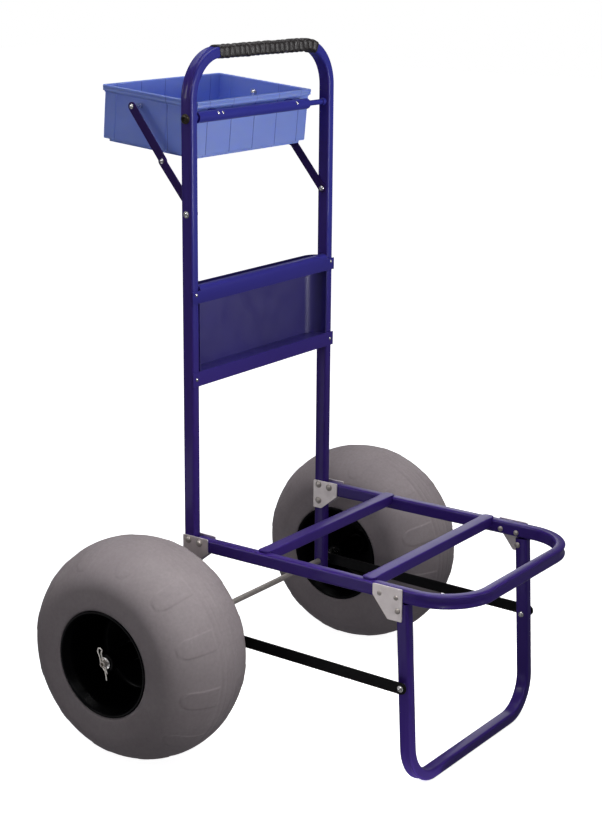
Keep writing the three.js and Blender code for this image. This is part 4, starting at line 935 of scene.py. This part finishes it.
def build_tray():
    """The tray, the sleeve round the rod with its two ears and screws, and the bolts of the stays."""
    shape = Shape(tray_place)
    hx, hy = TRAY_HALF, TRAY_DEEP / 2
    wx, wy, draft = hx - TRAY_LIP, hy - TRAY_LIP, 0.5
    floor, lip_z = 8.5, TRAY_HIGH - 11
    plinth, rim, wall, inside = (wx - 10, wy - 7), (hx, hy), (wx, wy), (wx - TRAY_WALL, wy - TRAY_WALL)
    levels = (  # height, walls, how far they stand in from there, corner and groove
        (0, plinth, 0.7, 2.4, 0), (0.7, plinth, 0, 3, 0), (5.2, plinth, 0, 3, 0),
        (6, wall, draft + 1, 2.2, 0.3), (7, wall, draft, 3, 1), (30, wall, draft * 0.72, 3, 1),
        (60, wall, draft * 0.38, 3, 1), (lip_z - 3.2, wall, 0.1, 3, 1), (lip_z - 2.6, wall, -0.5, 3.2, 0.2),
        (lip_z - 1.2, wall, -1.4, 3.4, 0), (lip_z, wall, -1.8, 3.6, 0), (lip_z + 0.4, rim, 0.8, 3.9, 0),
        (lip_z + 1.2, rim, 0.2, 4.4, 0), (lip_z + 5, rim, 0.4, 4.4, 0), (lip_z + 5.6, rim, 0, 4.5, 0),
        (TRAY_HIGH - 1, rim, 0, 4.5, 0), (TRAY_HIGH, rim, 0.9, 3.8, 0), (TRAY_HIGH - 0.1, wall, 1.4, 1.6, 0),
        (TRAY_HIGH - 1.2, inside, 0, 1.1, 0), (lip_z, inside, 0, 1, 1), (60, inside, 0.2, 1, 1),
        (floor + 2, inside, draft, 1.4, 1), (floor, inside, draft + 2, 2, 0.6),
    )
    rings = []
    for z, (x, y), step, corner, groove in levels:
        ring = tray_outline(x - step, y - step, corner, groove)
        rings.append([(px, py + TRAY_FRONT + hy, z + TRAY_RISE - TRAY_HIGH) for px, py in ring])
    shape.loft(rings)
    put("tray_bin", shape, "tray", TRAY, "tray", angle=35)

    sleeve = Shape(tray_place)
    right, left, bore, radius, cut = -(TUBE_IN - GAP - ROD_SHOULDER - GAP), 148, 5.7, 10.3, 0.7
    sleeve.lathe([
        (right, bore), (right, radius - cut), (right + cut, radius),
        (left - cut, radius), (left, radius - cut), (left, bore),
    ], (0, 0, 0), 48, closed=True)
    ear_front, ear_back = 8.5, TRAY_FRONT + TRAY_LIP - GAP
    for middle in (-134, 104):
        outline = []
        for s in range(-20, 21):
            t = s / 20
            outline.append((middle + 25 * t, 10.5 * (1 - abs(t) ** 1.7) ** 0.9))
        outline += [(middle + 24, 0), (middle - 24, 0)]
        sleeve.loft([[(x, y, max(z, -2)) for x, z in outline] for y in (ear_front, ear_back)])
    put("tray_tube", sleeve, "tray", BLUE, "tray_sleeve", bevel=EDGE)
    screws = Shape(tray_place)
    for x in (-140.5, -127.5, 104):
        dome(screws, (x, -8.2, 5.4), (0, -0.85, 0.5), 3.1, 1.8, 1.2, 24, 1.5)
    put("ear_screws", screws, "tray", BRIGHT)

    for name, side in SIDES:
        bolt = Shape(tray_place)
        y, z = TRAY_BOLT[1:]
        inner, outer = wx - TRAY_WALL - draft, wx + GAP
        upper_out = TUBE_IN - BRACE_SHEET - 2 * GAP
        upper_in = upper_out - BRACE_SHEET
        bolt.lathe([
            (inner - 1, SHANK), (outer, SHANK), (outer, 5),
            (upper_in - GAP, 5), (upper_in - GAP, SHANK), (upper_out + 1, SHANK),
        ], (0, y, z), 28, side)
        dome(bolt, (side * (upper_out + GAP), y, z), (side, 0, 0), 5, 2.8)
        nut = inner - GAP
        bolt.lathe([(nut, 3), (nut, 7.6), (nut - 0.9, 7.6), (nut - 1.1, 3)], (0, y, z), 32, side)
        dome(bolt, (side * (nut - 1.1), y, z), (-side, 0, 0), 5.6, 5.2)
        put(f"tray_bolt_{name}", bolt, "tray", BRIGHT, f"tray_brace_bolt_{name}")


def build_braces():
    """The tray's folding stays, each of two links that meet at a knee, and their bolts."""
    foot = Vector((0, BRACE_FOOT))
    bolt = tray_place(TRAY_BOLT)
    top = Vector((bolt[1], bolt[2]))
    line = top - foot
    below = Vector((line.y, -line.x)).normalized() * KNEE_SAG
    knee = foot + line * KNEE_SHARE + below
    lower_out = TUBE_IN - GAP
    upper_out = lower_out - BRACE_SHEET - GAP
    for name, side in SIDES:
        for link, start, high in (("lower", foot, lower_out), ("upper", top, upper_out)):
            low = high - BRACE_SHEET
            shape = Shape()
            shape.plate(link_outline(start, knee, BRACE_WIDE, 14), side * low, side * high)
            node = f"brace_{link}_{name}"
            put(f"{node}_bar", shape, f"brace_{link}", BRACE, node, bevel=EDGE)
            head = Shape()
            x, way, rise = (high, side, 2.8) if link == "lower" else (low, -side, 2.6)
            dome(head, (side * x, knee.x, knee.y), (way, 0, 0), 5, rise)
            put(f"{node}_rivet", head, f"brace_{link}", BRIGHT)
        seat = Shape()
        shank(seat, side * upper_out, side * TUBE_OUT, *foot)
        dome(seat, (side * upper_out, *foot), (-side, 0, 0), 5.6, 5)
        washer(seat, (side * TUBE_OUT, *foot), side, 6.6, 0.8)
        dome(seat, (side * (TUBE_OUT + 0.7), *foot), (side, 0, 0), 4.8, 2.4)
        put(f"brace_foot_bolt_{name}", seat, "back", BRIGHT, f"brace_bolt_{name}")


def build_rod():
    """The rod that the tray turns on, and the screws that hold its ends."""
    end, shoulder = TUBE_IN - GAP, TUBE_IN - GAP - ROD_SHOULDER
    rod = Shape()
    half = [(shoulder, 5.3), (shoulder, 6.4), (shoulder + 0.6, 7), (end, 7), (end, 4)]
    rod.lathe([(-x, r) for x, r in half[::-1]] + half, (0, 0, ROD_Z), 40)
    put("tray_rod_bar", rod, "back", BLUE, "tray_rod")
    seat, high, radius = TUBE_OUT + GAP, 4.5, 9
    for name, side in SIDES:
        shape = Shape()
        shape.lathe([
            (seat - 12, 0.5), (seat - 12, 4), (seat - GAP, 4), (seat - GAP, radius),
            (seat + high * 0.45, radius), (seat + high * 0.8, radius * 0.86), (seat + high, radius * 0.66),
            (seat + high, 4.2), (seat + high - 2.4, 3.9), (seat + high - 2.4, 0.4),
        ], (0, 0, ROD_Z), 40, side)
        put(f"rod_screw_{name}", shape, "back", DARK, f"tray_rod_screw_{name}")


# Camera, light and stage


def build_stage():
    """White behind everything, a grey sky for the light, and a pale floor."""
    world = bpy.data.worlds.new("studio")
    bpy.context.scene.world = world
    world.use_nodes = True
    tree = world.node_tree
    out = tree.nodes["Background"]
    out.inputs["Strength"].default_value = 1
    path = tree.nodes.new("ShaderNodeLightPath")
    mixer = tree.nodes.new("ShaderNodeMix")
    mixer.data_type = "RGBA"
    tree.links.new(path.outputs["Is Camera Ray"], mixer.inputs[0])
    mixer.inputs[6].default_value = (0.15, 0.15, 0.16, 1)
    mixer.inputs[7].default_value = (1, 1, 1, 1)
    tree.links.new(mixer.outputs[2], out.inputs["Color"])

    floor_mesh = bpy.data.meshes.new("floor")
    far = 14
    corners = [(-far, -far, 0), (far, -far, 0), (far, far, 0), (-far, far, 0)]
    floor_mesh.from_pydata(corners, [], [(0, 1, 2, 3)])
    floor = bpy.data.objects.new("floor", floor_mesh)
    bpy.context.scene.collection.objects.link(floor)
    paint = Paint(
        "floor_paper", (0.9, 0.9, 0.9), 0.9,
        Emission_Color=(1, 1, 1), Emission_Strength=0.93, Specular_IOR_Level=0,
    )
    floor.data.materials.append(paint.material)
    floor.visible_diffuse = False
    floor.visible_glossy = False


# Name, place and aim in metres, size, watts, degrees of spread, and what it doesn't light
LIGHTS = (
    ("key", (0.2, 0.3, 3.6), (0, -0.1, 0.5), (2.6, 2.6), 58, 180, None),
    ("front", (0.8, -1.9, 1.0), (0, 0, 1.25), (0.8, 0.8), 3, 50, None),
    ("near_top", (-0.4, -1.1, 1.7), (-0.4, -0.08, 0.34), (0.9, 0.9), 0.5, 31, None),
    ("edge_strip", (-2.3, -1.65, 2.4), (-0.2, 0, 0.9), (0.22, 0.9), 16, 180, "diffuse"),
    ("wheel_top", (-0.45, -0.45, 2.4), (-0.4, -0.1, 0.34), (0.6, 0.6), 0.5, 18, None),
    ("back_softbox", (3.2, 1.65, 1.5), (0, 0, 0.5), (0.7, 1.6), 5.5, 180, None),
    ("floor_glow", (-0.4, -0.42, 0.01), (-0.4, -0.36, 1), (0.55, 0.25), 0.7, 180, "glossy"),
    ("low_card", (-1.02, 0.55, 0.03), (0.1, -0.1, 0.5), (0.85, 0.6), 1.4, 180, "diffuse"),
    ("left_card", (-2.5, 1.7, 2.15), (-0.22, 0, 1.25), (1, 0.9), 18, 180, "diffuse"),
    ("tray_side", (-2.2, 0.5, 1.3), (-0.18, 0.2, 1.14), (1.3, 1.3), 0.65, 26, "glossy"),
    ("far_wheel", (-1.2, -0.5, 1.6), (0.3, 0, 0.3), (1.4, 1.4), 0.33, 22, "glossy"),
    ("far_top", (0.6, -0.55, 2.2), (0.42, -0.14, 0.34), (0.5, 0.5), 0.28, 15, "glossy"),
)


def area_light(name, place, aim, size, power, spread, unseen):
    data = bpy.data.lights.new(name, "AREA")
    data.shape = "RECTANGLE"
    data.size, data.size_y = size
    data.energy = power
    data.spread = math.radians(spread)
    light = bpy.data.objects.new(name, data)
    bpy.context.scene.collection.objects.link(light)
    light.location = place
    way = Vector(aim) - Vector(place)
    light.rotation_mode = "QUATERNION"
    light.rotation_quaternion = way.to_track_quat("-Z", "Y")
    light.visible_camera = False
    if unseen:
        setattr(light, "visible_" + unseen, False)


def build_camera():
    """The photo's camera. focal and long_side are in pixels of a frame of 602 by 819."""
    azimuth, elevation, roll = (math.radians(v) for v in (-54.66, 15.17, 0.47))
    distance, focal, long_side, sensor = 3633.4, 1793.8, 819, 36
    target = Vector((137.0, 0, 554.9))
    level = math.cos(elevation)
    back = Vector((math.sin(azimuth) * level, -math.cos(azimuth) * level, math.sin(elevation)))
    right = Vector((0, 0, 1)).cross(back).normalized()
    up = back.cross(right)
    camera = bpy.data.objects.new("camera", bpy.data.cameras.new("camera"))
    bpy.context.scene.collection.objects.link(camera)
    camera.data.sensor_width = sensor
    camera.data.lens = focal * sensor / long_side
    camera.data.clip_end = 100
    across = right * math.cos(roll) + up * math.sin(roll)
    over = -right * math.sin(roll) + up * math.cos(roll)
    turn = Matrix((across, over, back)).transposed()
    camera.matrix_world = Matrix.Translation(row(target + back * distance)) @ turn.to_4x4()
    bpy.context.scene.camera = camera


build_camera()
build_stage()
for light in LIGHTS:
    area_light(*light)
build_frames()
build_grip()
build_panel()
build_gussets()
build_leg_gussets()
build_stays()
build_crossbars()
build_axle()
build_wheels()
build_tray()
build_braces()
build_rod()
bpy.context.scene.view_settings.view_transform = "Standard"
